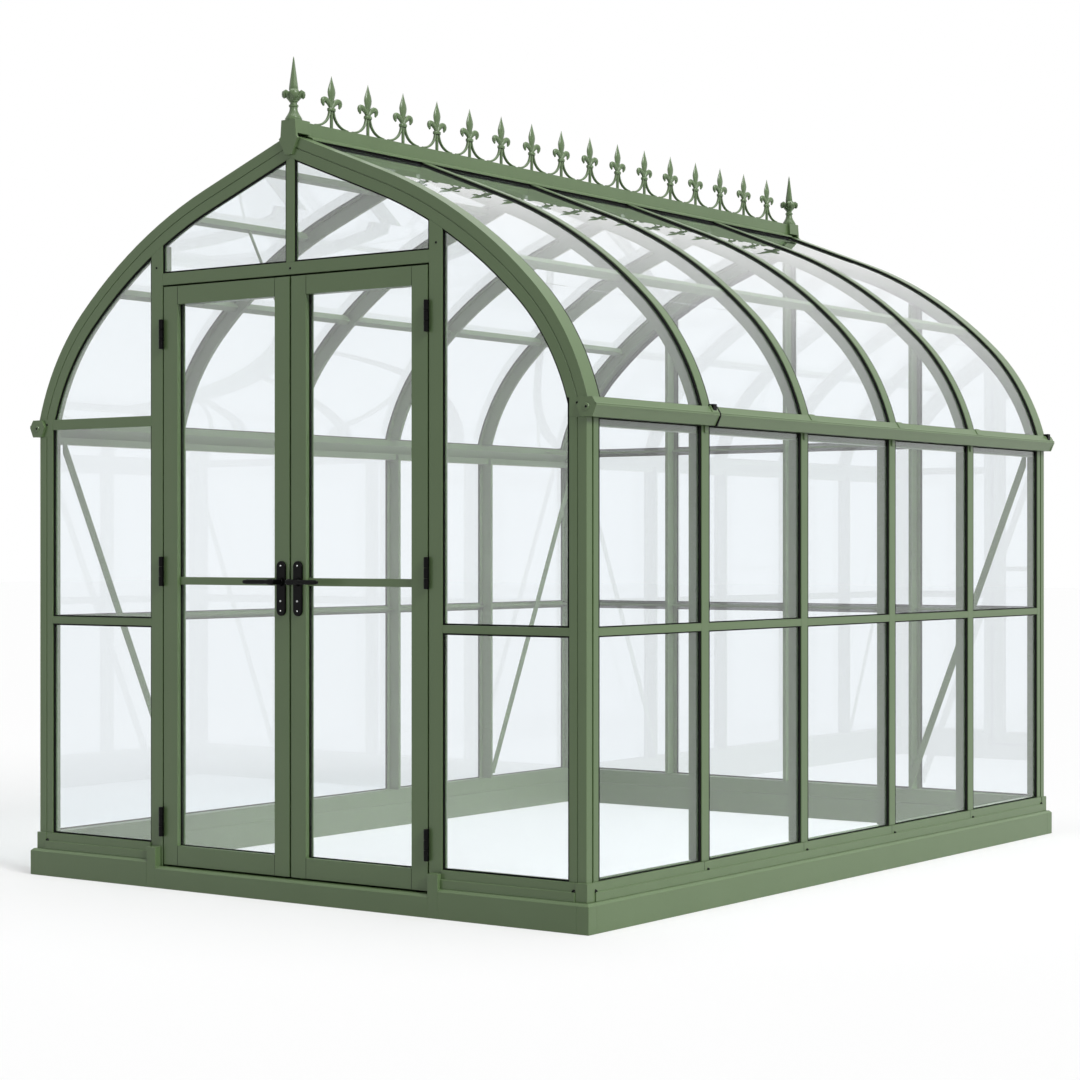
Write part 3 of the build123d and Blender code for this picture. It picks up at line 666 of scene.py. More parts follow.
    def piece(
        self, name: str, finish: Finish, body: Body, stands_for: tuple[str, ...] = ()
    ) -> None:
        """Turn the mesh into a piece that rides on a body.

        Args:
            name: name of the piece.
            finish: its surface finish.
            body: body that it moves with.
            stands_for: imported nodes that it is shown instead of.
        """
        data: Mesh = bpy.data.meshes.new(name)
        self.mesh.to_mesh(data)
        self.mesh.free()
        data.materials.append(finish.material())
        data.polygons.foreach_set("use_smooth", [True] * len(data.polygons))
        data.set_sharp_from_angle(angle=SHARP_TURN)
        made = bpy.data.objects.new(name, data)
        bpy.context.scene.collection.objects.link(made)
        even = made.modifiers.new("even_shading", "WEIGHTED_NORMAL")
        even.keep_sharp = True
        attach(made, body.value)
        if stands_for:
            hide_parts(*stands_for)
        log.info("%s rides on %s with %d faces", name, body.value, len(data.polygons))


def body_of_node(node: str) -> Body:
    """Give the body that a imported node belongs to."""
    for name, members in frame["record"]["behaviour"]["bodies"].items():
        if node in members:
            return Body(name)
    raise KeyError(node)


def solid_boxes(node: str) -> list[tuple[Vector, Vector]]:
    """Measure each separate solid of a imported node.

    Args:
        node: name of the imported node.

    Returns:
        Lowest and highest corner of each solid, in order of place.
    """
    mesh = bmesh.new()
    mesh.from_mesh(frame["nodes"][node].data)
    bmesh.ops.remove_doubles(mesh, verts=mesh.verts, dist=SAME_PLACE)
    boxes = []
    for seed in mesh.verts:
        if seed.tag:
            continue
        seed.tag = True
        group = [seed]
        for vert in group:
            for other in (item.other_vert(vert) for item in vert.link_edges):
                if not other.tag:
                    other.tag = True
                    group.append(other)
        places = [vert.co for vert in group]
        low = Vector([min(place[axis] for place in places) for axis in range(3)])
        high = Vector([max(place[axis] for place in places) for axis in range(3)])
        boxes.append((low, high))
    mesh.free()
    return sorted(boxes, key=lambda item: [round(value, 5) for value in (*item[0], *item[1])])


# Set-out of the building
@dataclass(frozen=True)
class Shell:
    """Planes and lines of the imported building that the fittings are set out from, in metres.

    Attributes:
        plinth_x: outer face of the plinth's long sides.
        wall_x: outer face of the side walls.
        front_y: outer face of the door gable.
        back_y: outer face of the back gable.
        sill_top: top of the sills.
        eave_z: underside of the gutters.
        gutter_top: top of the gutters.
        rib_lines: distance along the building of each roof rib.
        cap_half: half the width of the posts' and ribs' caps.
        glass_depth: depth of the glass below the caps' outer faces.
        gable_depth: depth of the gable frame at its outer flange.
        flange: width of the gable frame's flange over the glass.
    """

    plinth_x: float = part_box("plinth_sides")[1].x
    wall_x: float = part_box("side_wall_posts")[1].x
    front_y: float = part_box("right_door_stiles")[0].y
    back_y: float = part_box("back_wall_posts")[1].y
    sill_top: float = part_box("sill_rails")[1].z
    eave_z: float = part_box("right_eave_gutter")[0].z
    gutter_top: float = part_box("right_eave_gutter")[1].z
    rib_lines: tuple[float, ...] = tuple((low.y + high.y) / 2 for low, high in solid_boxes("right_roof_ribs"))
    cap_half: float = 21 * MM
    glass_depth: float = 8 * MM
    gable_depth: float = 62 * MM
    flange: float = 12 * MM

    def bays(self) -> list[tuple[float, float]]:
        """Edges of the open glass between the caps along each side wall and roof slope."""
        edges = [self.front_y + self.gable_depth]
        for line in self.rib_lines:
            edges += [line - self.cap_half, line + self.cap_half]
        edges.append(self.back_y - self.gable_depth)
        return list(zip(edges[::2], edges[1::2]))

    def gables(self) -> tuple[tuple[float, int], ...]:
        """Outer face of each gable and the direction out of it along Y."""
        return ((self.front_y, -1), (self.back_y, 1))


@dataclass(frozen=True)
class RoofCurve:
    """Outer line of the right roof slope: two arcs from the eave and a straight run to the ridge.

    Attributes:
        foot: distance from the ridge and height of the lower end, in metres.
        lower_radius: radius of the lower arc.
        upper_radius: radius of the upper arc.
        foot_slope: fall at the eave in degrees.
        joint_slope: fall where the arcs meet.
        ridge_slope: fall of the straight run.
        arc_steps: steps along each arc.
    """

    foot: tuple[float, float] = (1.146, 1.556)
    lower_radius: float = 0.797
    upper_radius: float = 1.660
    foot_slope: float = 75.0
    joint_slope: float = 45.0
    ridge_slope: float = 21.5
    arc_steps: int = 12

    def direction(self, slope: float) -> Vector:
        """Outward direction where the roof falls at a slope."""
        return Vector((math.sin(math.radians(slope)), 0.0, math.cos(math.radians(slope))))

    def lower_centre(self) -> Vector:
        """Centre of the lower arc."""
        return Vector((self.foot[0], 0.0, self.foot[1])) - self.direction(self.foot_slope) * self.lower_radius

    def upper_centre(self) -> Vector:
        """Centre of the upper arc."""
        growth = self.upper_radius - self.lower_radius
        return self.lower_centre() - self.direction(self.joint_slope) * growth

    def straight_end(self) -> Vector:
        """Point where the straight run to the ridge starts."""
        return self.upper_centre() + self.direction(self.ridge_slope) * self.upper_radius

    def height(self, x: float, depth: float = 0.0) -> float:
        """Height of a line that runs at a depth below the roof.

        Args:
            x: distance from the ridge line.
            depth: depth below the outer line, square to the roof.

        Returns:
            The height in metres.
        """
        fall = math.radians(self.ridge_slope)
        start = self.straight_end() - self.direction(self.ridge_slope) * depth
        joint = self.upper_centre() + self.direction(self.joint_slope) * (self.upper_radius - depth)
        if x < start.x:
            return start.z + (start.x - x) * math.tan(fall)
        centre, radius = self.upper_centre(), self.upper_radius - depth
        if x > joint.x:
            centre, radius = self.lower_centre(), self.lower_radius - depth
        return centre.z + math.sqrt(radius ** 2 - (x - centre.x) ** 2)

    def strip(self, bench: Bench, y0: float, y1: float, outer: float, inner: float, ridge_x: float) -> None:
        """Add a bar that follows the right slope from the eave to the ridge.

        Args:
            bench: piece in the making.
            y0: first edge along the building.
            y1: second edge along the building.
            outer: depth of its upper face below the roof's outer line.
            inner: depth of its lower face.
            ridge_x: distance from the ridge line at which it ends.
        """
        before = set(bench.mesh.faces)
        out = self.direction(self.foot_slope)
        middle = Vector((self.foot[0], (y0 + y1) / 2, self.foot[1])) - out * (outer + inner) / 2
        place = Matrix((out * (inner - outer), Y_AXIS * (y1 - y0), out.cross(Y_AXIS))).transposed().to_4x4()
        place.translation = middle
        grid = bmesh.ops.create_grid(bench.mesh, x_segments=1, y_segments=1, size=0.5, matrix=place)
        front = list(grid["verts"][0].link_faces)
        for centre, angle in (
            (self.lower_centre(), self.foot_slope - self.joint_slope),
            (self.upper_centre(), self.joint_slope - self.ridge_slope),
        ):
            turned = bmesh.ops.spin(
                bench.mesh,
                geom=front,
                cent=centre,
                axis=Y_AXIS,
                angle=-math.radians(angle),
                steps=self.arc_steps,
            )
            front = [item for item in turned["geom_last"] if isinstance(item, BMFace)]
        start = self.straight_end()
        along = Vector((-1.0, 0.0, math.tan(math.radians(self.ridge_slope)))) * (start.x - ridge_x)
        run = bmesh.ops.extrude_face_region(bench.mesh, geom=front)
        bmesh.ops.translate(bench.mesh, verts=corners_in(run["geom"]), vec=along)
        bmesh.ops.delete(bench.mesh, geom=front, context="FACES_ONLY")
        bench.face_outwards(before)


SHELL = Shell()
ROOF = RoofCurve()


def door_faces(side: Side) -> tuple[tuple[float, int], ...]:
    """Front and back face of a door and the direction out of each along Y."""
    low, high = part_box(f"{side.word}_door_stiles")
    return ((low.y, -1), (high.y, 1))


@dataclass
class CoatedFrame:
    """Powder-coated bars, posts and castings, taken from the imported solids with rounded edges.

    Attributes:
        edge: width of the rounding on the bars' edges in metres.
        made_anew: coated nodes that other sub-assemblies show in more detail.
    """

    edge: float = 1.0 * MM
    made_anew: tuple[str, ...] = (
        "ridge_cresting",
        "finials",
        "jamb_hinges",
        "left_door_ironmongery",
        "right_door_ironmongery",
        "left_door_lever",
        "right_door_lever",
    )

    def dress(self) -> None:
        """Show each coated node as a copy with rounded edges."""
        for part in frame["record"]["subparts"]:
            node = part["node"]
            slot = Slot(part["material_slot"])
            if slot is Slot.GLASS or node in self.made_anew:
                continue
            finish = MOSS_COAT if slot is Slot.GREEN else BLACK_COAT
            bench = Bench()
            bench.copy_node(node, self.edge)
            bench.piece(f"{node}_coated", finish, body_of_node(node), (node,))


@dataclass
class Glazing:
    """Panes of the walls, gables, roof and doors.

    Attributes:
        finishes: finish of the panes whose node names hold a word; the gables and doors have the glossy one.
    """

    finishes: tuple[tuple[str, ClearGlass], ...] = (("roof", BENT_GLASS), ("wall", GLASS))

    def dress(self) -> None:
        """Give every glass node its finish."""
        for part in frame["record"]["subparts"]:
            if Slot(part["material_slot"]) is Slot.GLASS:
                finish = next((kind for word, kind in self.finishes if word in part["node"]), GABLE_GLASS)
                for place in frame["nodes"][part["node"]].material_slots:
                    place.material = finish.material()


@dataclass
class InnerBeads:
    """Coated beads on the inner side of the panes, as wide as the caps outside.

    Attributes:
        post_bead: width of a bead beside a post or a rib in metres.
        rail_bead: width of a bead beside a rail.
        thickness: thickness of a bead.
        pane: thickness of the glass.
    """

    post_bead: float = 14 * MM
    rail_bead: float = 8 * MM
    thickness: float = 3 * MM
    pane: float = 4 * MM

    def build(self) -> None:
        """Fit the beads to the side walls, the slopes and the back wall."""
        bench = Bench()
        for low, high in solid_boxes("right_wall_glass"):
            inner = low.x - self.thickness
            self.uprights(bench, Vector((inner, low.y, low.z)), Vector((low.x, high.y, high.z)), Y_AXIS)
            for foot in (low.z, high.z - self.rail_bead):
                if SHELL.sill_top + self.rail_bead < foot < SHELL.eave_z - 2 * self.rail_bead:
                    top = Vector((low.x, high.y, foot + self.rail_bead))
                    bench.block(Vector((inner, low.y, foot)), top)
        depth = SHELL.glass_depth + self.pane
        for low, high in solid_boxes("right_roof_glass"):
            for y in (low.y, high.y - self.post_bead):
                ROOF.strip(bench, y, y + self.post_bead, depth, depth + self.thickness, low.x)
        bench.mirror("X")
        for low, high in solid_boxes("back_glass"):
            if high.z < SHELL.gutter_top:
                near = Vector((low.x, low.y - self.thickness, low.z))
                self.uprights(bench, near, Vector((high.x, low.y, high.z)), X_AXIS)
        bench.piece("inner_glazing_beads", MOSS_COAT, Body.FRAME)

    def uprights(self, bench: Bench, low: Vector, high: Vector, along: Vector) -> None:
        """Two beads at the upright edges of a flat pane.

        Args:
            bench: piece in the making.
            low: lowest corner of the beads.
            high: highest corner of the beads.
            along: direction from one upright edge to the other.
        """
        gap = along * ((high - low).dot(along) - self.post_bead)
        bench.block(low, high - gap)
        bench.block(low + gap, high)


@dataclass
class GlazingSeals:
    """Black rubber strips that hold the panes in the bars.

    Attributes:
        bead: width of an upright strip beside a cap on each side of the building, in metres; the wider right
            strips are partly real rubber and partly painted shade beside the caps.
        rail_bead: width of a strip along a rail or a gutter.
        proud: height of a strip above the glass.
        arch_bead: width of a strip under an arch.
        ridge_bead: width of the strip under the ridge.
        ridge_recess: distance of the ridge strip behind the saddle's edge.
        door_bead: width of the strip round a door pane.
        reveal_shade_lining: thickness of the black strip that lines the reveal behind a door pane, painted
            shade for the shaded reveal seen through the glass.
        reveal: depth of that reveal.
        post_cover: width of glass that a post's cap hides at each side.
        rail_cover: width of glass that a rail's cap hides.
        arch_depth: depth of the gable arch's inner edge below the roof line.
        mullion_half: half the width of the mullion's cap.
        stop: width and thickness of the strip that the doors close on; its black darkens the gaps round the
            doors as painted shade.
        stop_gap: gap between a closed door and that strip.
        seam: width of a seam in a door.
        seam_proud: height of a seam above the door's face.
    """

    bead: dict[Side, float] = field(default_factory=lambda: {Side.LEFT: 3 * MM, Side.RIGHT: 9 * MM})
    rail_bead: float = 3.5 * MM
    proud: float = 5 * MM
    door_bead: float = 2.5 * MM
    reveal_shade_lining: float = 2 * MM
    reveal: float = 9 * MM
    post_cover: float = 14 * MM
    rail_cover: float = 8 * MM
    arch_bead: float = 5 * MM
    ridge_bead: float = 9 * MM
    ridge_recess: float = 7 * MM
    arch_depth: float = 70 * MM
    mullion_half: float = 17 * MM
    stop: tuple[float, float] = (16 * MM, 6 * MM)
    stop_gap: float = 0.5 * MM
    seam: float = 1.2 * MM
    seam_proud: float = 0.2 * MM

    def build(self) -> None:
        """Fit the strips to the walls, gables, roof and doors."""
        self.side_walls()
        self.gables()
        self.roof()
        self.door_stops()
        for side in Side:
            self.door(side)

    def side_walls(self) -> None:
        """Strips round the panes of both side walls."""
        bench = Bench()
        self.wall(bench, self.bead[Side.LEFT])
        bench.reflect()
        self.wall(bench, self.bead[Side.RIGHT])
        bench.piece("side_wall_seals", SEAL_AND_SHADE_BLACK, Body.FRAME)

    def wall(self, bench: Bench, bead: float) -> None:
        """Strips round the panes of the right wall.

        Args:
            bench: piece in the making.
            bead: width of an upright strip.
        """
        outer = SHELL.wall_x - SHELL.glass_depth
        for y0, y1 in SHELL.bays():
            for low, high in solid_boxes("right_wall_glass"):
                if not low.y < (y0 + y1) / 2 < high.y:
                    continue
                z0 = low.z + (self.rail_cover if low.z > SHELL.sill_top + self.rail_cover else 0.0)
                z1 = high.z - (self.rail_cover if high.z < SHELL.eave_z - self.rail_cover else 0.0)
                # Upright strips: real seals, widened on the right as painted shade beside the caps
                for near, far in ((y0, y0 + bead), (y1 - bead, y1)):
                    bench.block(Vector((outer, near, z0)), Vector((outer + self.proud, far, z1)))
                for foot, top in ((z0, z0 + self.rail_bead), (z1 - self.rail_bead, z1)):
                    bench.block(Vector((outer, y0, foot)), Vector((outer + self.proud, y1, top)))

    def gables(self) -> None:
        """Strips along the arches and round the square panes of the gables."""
        bench = Bench()
        slots = []
        for node, (face, out) in zip(("front_glass", "back_glass"), SHELL.gables()):
            near = face - out * SHELL.glass_depth
            far = near + out * self.proud
            slots.append((node, min(near, far), max(near, far)))
        for _, y0, y1 in slots:
            ROOF.strip(bench, y0, y1, self.arch_depth, self.arch_depth + self.arch_bead, 0.0)
        bench.mirror("X")
        on_ledge = (SHELL.sill_top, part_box("door_transom")[1].z)
        for node, y0, y1 in slots:
            for low, high in solid_boxes(node):
                seated = any(abs(low.z - ledge) < MM for ledge in on_ledge)
                foot = low.z + (0.0 if seated else self.rail_cover)
                left = low.x + self.cover(node, low.x)
                right = high.x - self.cover(node, high.x)
                if high.z < SHELL.gutter_top:
                    top = high.z - self.rail_cover
                    bench.surround(Vector((left, y0, foot)), Vector((right, y1, top)), self.arch_bead)
                    continue
                bench.block(Vector((left, y0, foot)), Vector((right, y1, foot + self.arch_bead)))
                for x0, x1 in ((left, left + self.arch_bead), (right - self.arch_bead, right)):
                    top = max(ROOF.height(max(abs(x0), abs(x1)), self.arch_depth), SHELL.gutter_top)
                    bench.block(Vector((x0, y0, foot)), Vector((x1, y1, top)))
        bench.piece("gable_seals", SEAL_AND_SHADE_BLACK, Body.FRAME)

    def cover(self, node: str, x: float) -> float:
        """Width of glass that the frame hides at an upright edge of a gable pane.

        Args:
            node: name of the gable's glass.
            x: place of the edge.

        Returns:
            The width in metres, none where the pane stands between the jambs.
        """
        if node == "front_glass" and abs(x) < self.mullion_half:
            return self.mullion_half - abs(x)
        if node == "front_glass" and abs(abs(x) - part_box("door_transom")[1].x) < MM:
            return 0.0
        if node == "back_glass" and abs(x) < SHELL.wall_x - SHELL.gable_depth:
            return self.post_cover
        return SHELL.flange

    def door_stops(self) -> None:
        """Strips behind the gaps round the doors, which the doors close on."""
        bench = Bench()
        # Black strips behind the door gaps, painted shade that darkens the gaps
        wide, thick = self.stop
        low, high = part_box("right_door_stiles")
        near = high.y + self.stop_gap
        edge = high.x + wide / 2
        for z in (low.z, high.z):
            bench.block(Vector((-edge, near, z - wide / 2)), Vector((edge, near + thick, z + wide / 2)))
        for x in (-high.x, high.x):
            bench.block(Vector((x - wide / 2, near, low.z)), Vector((x + wide / 2, near + thick, high.z)))
        bench.piece("door_stops_and_gap_shade", SEAL_AND_SHADE_BLACK, Body.FRAME)

    def roof(self) -> None:
        """Strips along the ribs and arches, under the ridge and above the gutters."""
        bench = Bench()
        self.slope(bench, self.bead[Side.LEFT])
        bench.reflect()
        self.slope(bench, self.bead[Side.RIGHT])
        bench.piece("roof_seals", SEAL_AND_SHADE_BLACK, Body.FRAME)

    def slope(self, bench: Bench, bead: float) -> None:
        """Strips round the bent panes of the right slope.

        Args:
            bench: piece in the making.
            bead: width of a strip along a rib.
        """
        deep = SHELL.glass_depth
        ridge_half = (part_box("ridge_bar")[1].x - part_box("ridge_bar")[0].x) / 2
        slope = math.tan(math.radians(ROOF.ridge_slope))
        for y0, y1 in SHELL.bays():
            ROOF.strip(bench, y0, y0 + bead, deep - self.proud, deep, ridge_half)
            ROOF.strip(bench, y1 - bead, y1, deep - self.proud, deep, ridge_half)
            lip = ridge_half - self.ridge_recess
            low = ROOF.height(lip) - deep
            corners = bench.block(Vector((lip - self.ridge_bead, y0, low)), Vector((lip, y1, low + deep)))
            raised = [corner for corner in corners if corner.co.x < lip - self.ridge_bead / 2]
            bmesh.ops.translate(bench.mesh, verts=raised, vec=Z_AXIS * self.ridge_bead * slope)
            foot_low = Vector((ROOF.foot[0] - 2 * deep, y0, SHELL.gutter_top))
            bench.block(foot_low, foot_low + Vector((deep, y1 - y0, self.rail_bead)))

    def door(self, side: Side) -> None:
        """Upright strips at a door's panes, one below the lowest, and the seams at the ends of its rails.

        Args:
            side: side of the door.
        """
        bench = Bench()
        panes = solid_boxes(f"{side.word}_door_glass")
        foot = min(low.z for low, _ in panes)
        for low, high in panes:
            outside = (low.y - self.proud / 2, low.y, self.door_bead)
            # Behind the pane a black lining paints the shade of the reveal
            inside = (high.y, high.y + self.reveal, self.reveal_shade_lining)
            for y0, y1, wide in (outside, inside):
                for x0, x1 in ((low.x, low.x + wide), (high.x - wide, high.x)):
                    bench.block(Vector((x0, y0, low.z)), Vector((x1, y1, high.z)))
                if low.z < foot + MM:
                    bench.block(Vector((low.x, y0, low.z)), Vector((high.x, y1, low.z + wide)))
        bottom_rail, top_rail = solid_boxes(f"{side.word}_door_rails")[:2]
        for low, high in (bottom_rail, top_rail):
            for x in (low.x, high.x):
                seam = Vector((x - self.seam / 2, low.y - self.seam_proud, low.z))
                bench.block(seam, Vector((x + self.seam / 2, low.y + MM, high.z)))
        bench.piece(f"{side.word}_door_seals_and_reveal_shade", SEAL_AND_SHADE_BLACK, side.door)


@dataclass
class Cresting:
    """Row of cast fleurs-de-lis along the ridge and the two finials.

    Attributes:
        height: height of a fleur in metres.
        stem_radius: radius of its stem.
        leg_reach: distance from the stem to the tip of a leg.
        leg_rise: height at which the legs spring from the stem.
        leg_half: half the thickness of a leg.
        leg_taper: share of that thickness that a leg loses towards its tip.
        leg_depth: depth of a leg as a share of its thickness.
        leg_steps: steps along a leg.
        collar: half width, half thickness and height above the ridge of each ring of the collar.
        spear: share of the spear's height and half its width at each section.
        spear_foot: height of the spear's foot.
        spear_flat: thickness of the spear as a share of its width.
        petal_path: four guide points of a petal, from the collar.
        petal_halves: half width and half thickness of a petal from foot to tip.
        finial_stem: radius and height of each point of a finial's turned stem.
        finial_spike: height and half width of each section of its spike.
        finial_leaf: reach, height, half width and half thickness of each section of a leaf.

    The rows of numbers are in millimetres, apart from the shares.
    """

    height: float = 172 * MM
    stem_radius: float = 5.5 * MM
    leg_reach: float = 80 * MM
    leg_rise: float = 60.5 * MM
    leg_half: float = 4.4 * MM
    leg_taper: float = 0.3
    leg_depth: float = 1.25
    leg_steps: int = 10
    spear_foot: float = 68.5 * MM
    spear_flat: float = 0.42
    collar: tuple[tuple[float, float, float], ...] = (
        (8, 6, 57.5), (16.5, 10, 58.5), (17.5, 11, 60.5), (17.5, 11, 66), (16.5, 10, 68), (8, 6, 69),
    )
    spear: tuple[tuple[float, float], ...] = (
        (0.0, 8.0), (0.14, 9.0), (0.28, 12.5), (0.40, 16.5), (0.50, 18.0), (0.60, 16.0), (0.72, 11.0),
        (0.86, 5.2), (0.96, 1.6), (1.0, 0.5),
    )
    petal_path: tuple[tuple[float, float], ...] = ((4.0, -2.0), (8.0, 25.0), (60.0, 40.0), (38.0, 3.0))
    petal_halves: tuple[tuple[float, float], ...] = (
        (6.0, 5.0), (7.0, 5.6), (8.2, 6.2), (9.2, 6.6), (9.6, 6.8), (9.4, 6.8), (8.8, 6.8), (8.6, 6.6),
        (8.6, 6.2), (7.6, 5.4), (3.2, 2.6),
    )
    finial_stem: tuple[tuple[float, float], ...] = (
        (0, 0), (27.5, 0), (27.5, 6), (25, 8), (25, 10), (21, 16), (17.5, 22), (14.6, 28), (13, 34),
        (12.6, 40), (12.8, 42), (15, 43), (15.4, 46), (15, 49), (11.6, 50.5), (11, 54), (11.6, 57.5),
        (14.6, 59), (15, 62), (14.4, 65), (12, 67), (12, 74), (13, 90), (13.5, 99), (0, 99),
    )
    finial_spike: tuple[tuple[float, float], ...] = (
        (92, 12.0), (99, 15.0), (112, 13.6), (150, 8.6), (194, 2.6), (203, 0.8),
    )
    finial_leaf: tuple[tuple[float, ...], ...] = (
        (7, 62, 9, 6), (12, 69, 13, 8), (17.5, 78, 16, 9.5), (22, 86, 16.5, 9.5), (26, 89.5, 15.5, 9),
        (29, 87, 14.5, 8.5), (30.5, 81.5, 13, 7.5), (30, 75, 11, 6.5), (28, 70, 6, 3.5),
    )

    def build(self) -> None:
        """Cast the fleurs and turn the finials."""
        self.fleurs()
        self.finials()

    def fleurs(self) -> None:
        """One fleur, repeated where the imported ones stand."""
        bench = Bench()
        self.legs(bench)
        self.petals(bench)
        self.bud(bench)
        shape = bench.mesh.verts[:] + bench.mesh.edges[:] + bench.mesh.faces[:]
        boxes = solid_boxes("ridge_cresting")
        places = [Vector((0.0, (low.y + high.y) / 2, low.z)) for low, high in boxes]
        for place in places[1:]:
            copied = bmesh.ops.duplicate(bench.mesh, geom=shape)
            bmesh.ops.translate(bench.mesh, verts=corners_in(copied["geom"]), vec=place)
        bmesh.ops.translate(bench.mesh, verts=corners_in(shape), vec=places[0])
        bench.piece("fleur_de_lis_cresting", MOSS_COAT, Body.FRAME, ("ridge_cresting",))

    def legs(self, bench: Bench) -> None:
        """Two legs that sweep from the stem out along the ridge.

        Args:
            bench: piece in the making.
        """
        wide = self.leg_reach - self.stem_radius - self.leg_half
        tall = self.leg_rise - self.leg_half
        for hand in (-1, 1):
            row = []
            for step in range(self.leg_steps + 1):
                share = step / self.leg_steps
                angle = math.radians(90 * share)
                across = Vector((0.0, hand * math.cos(angle) / wide, math.sin(angle) / tall)).normalized()
                half = self.leg_half * (1.0 - self.leg_taper * share ** 3)
                y = self.leg_reach - wide * math.cos(angle)
                z = self.leg_rise - tall * math.sin(angle)
                centre = Vector((0.0, hand * y, z))
                row.append(Station(centre, across * half, X_AXIS * self.leg_half * self.leg_depth))
            bench.sweep(row, sides=8)

    def petals(self, bench: Bench) -> None:
        """Two petals that rise from the collar, curl out and turn down.

        Args:
            bench: piece in the making.
        """
        guides = [Vector((0.0, y * MM, z * MM + self.spear_foot)) for y, z in self.petal_path]
        last = len(self.petal_halves) - 1
        for hand in (-1, 1):
            row = []
            for step, (wide, thick) in enumerate(self.petal_halves):
                t = step / last
                s = 1.0 - t
                shares = (s ** 3, 3 * s * s * t, 3 * s * t * t, t ** 3)
                centre = sum((guide * share for guide, share in zip(guides, shares)), Vector((0.0, 0.0, 0.0)))
                pulls = (-s * s, s * s - 2 * s * t, 2 * s * t - t * t, t * t)
                along = sum((guide * pull for guide, pull in zip(guides, pulls)), Vector((0.0, 0.0, 0.0)))
                across = along.cross(X_AXIS).normalized() * wide * MM
                centre.y *= hand
                across.y *= hand
                row.append(Station(centre, across, X_AXIS * thick * MM))
            bench.sweep(row, sides=12)

    def bud(self, bench: Bench) -> None:
        """Stem, ringed collar and pointed spear.

        Args:
            bench: piece in the making.
        """
        bench.rod(Vector((0.0, 0.0, 0.0)), Z_AXIS * self.leg_rise, self.stem_radius, sides=12)
        rings = [
            Station(Z_AXIS * up * MM, Y_AXIS * wide * MM, X_AXIS * thick * MM)
            for wide, thick, up in self.collar
        ]
        bench.sweep(rings, sides=16)
        tall = self.height - self.spear_foot
        row = []
        for share, half in self.spear:
            centre = Z_AXIS * (self.spear_foot + share * tall)
            row.append(Station(centre, Y_AXIS * half * MM, X_AXIS * half * self.spear_flat * MM))
        bench.sweep(row, sides=12)

    def finials(self) -> None:
        """Turned stem, four curled leaves and a faceted spike on each gable."""
        bench = Bench()
        for low, high in solid_boxes("finials"):
            foot = Vector((0.0, (low.y + high.y) / 2, low.z))
            bench.turn_profile([(radius * MM, up * MM) for radius, up in self.finial_stem], foot)
            rows = [
                Station(foot + Z_AXIS * up * MM, X_AXIS * half * MM, Y_AXIS * half * MM)
                for up, half in self.finial_spike
            ]
            bench.sweep(rows, sides=8)
            for degrees in (45, 135, 225, 315):
                turn = Matrix.Rotation(math.radians(degrees), 3, "Z")
                bench.sweep(self.leaf_row(foot, turn), sides=10)
        bench.piece("turned_finials", MOSS_COAT, Body.FRAME, ("finials",))

    def leaf_row(self, foot: Vector, turn: Matrix) -> list[Station]:
        """Sections of one curled leaf.

        Args:
            foot: foot of the finial.
            turn: turn of the leaf round the finial.

        Returns:
            The sections from root to tip.
        """
        centres = [Vector((reach, 0.0, up)) for reach, up, _, _ in self.finial_leaf]
        row = []
        for index, (_, _, wide, thick) in enumerate(self.finial_leaf):
            ahead = centres[min(index + 1, len(centres) - 1)] - centres[max(index - 1, 0)]
            normal = Y_AXIS.cross(ahead).normalized() * thick * MM
            side = turn @ (Y_AXIS * wide * MM)
            row.append(Station(foot + turn @ (centres[index] * MM), side, turn @ normal))
        return row


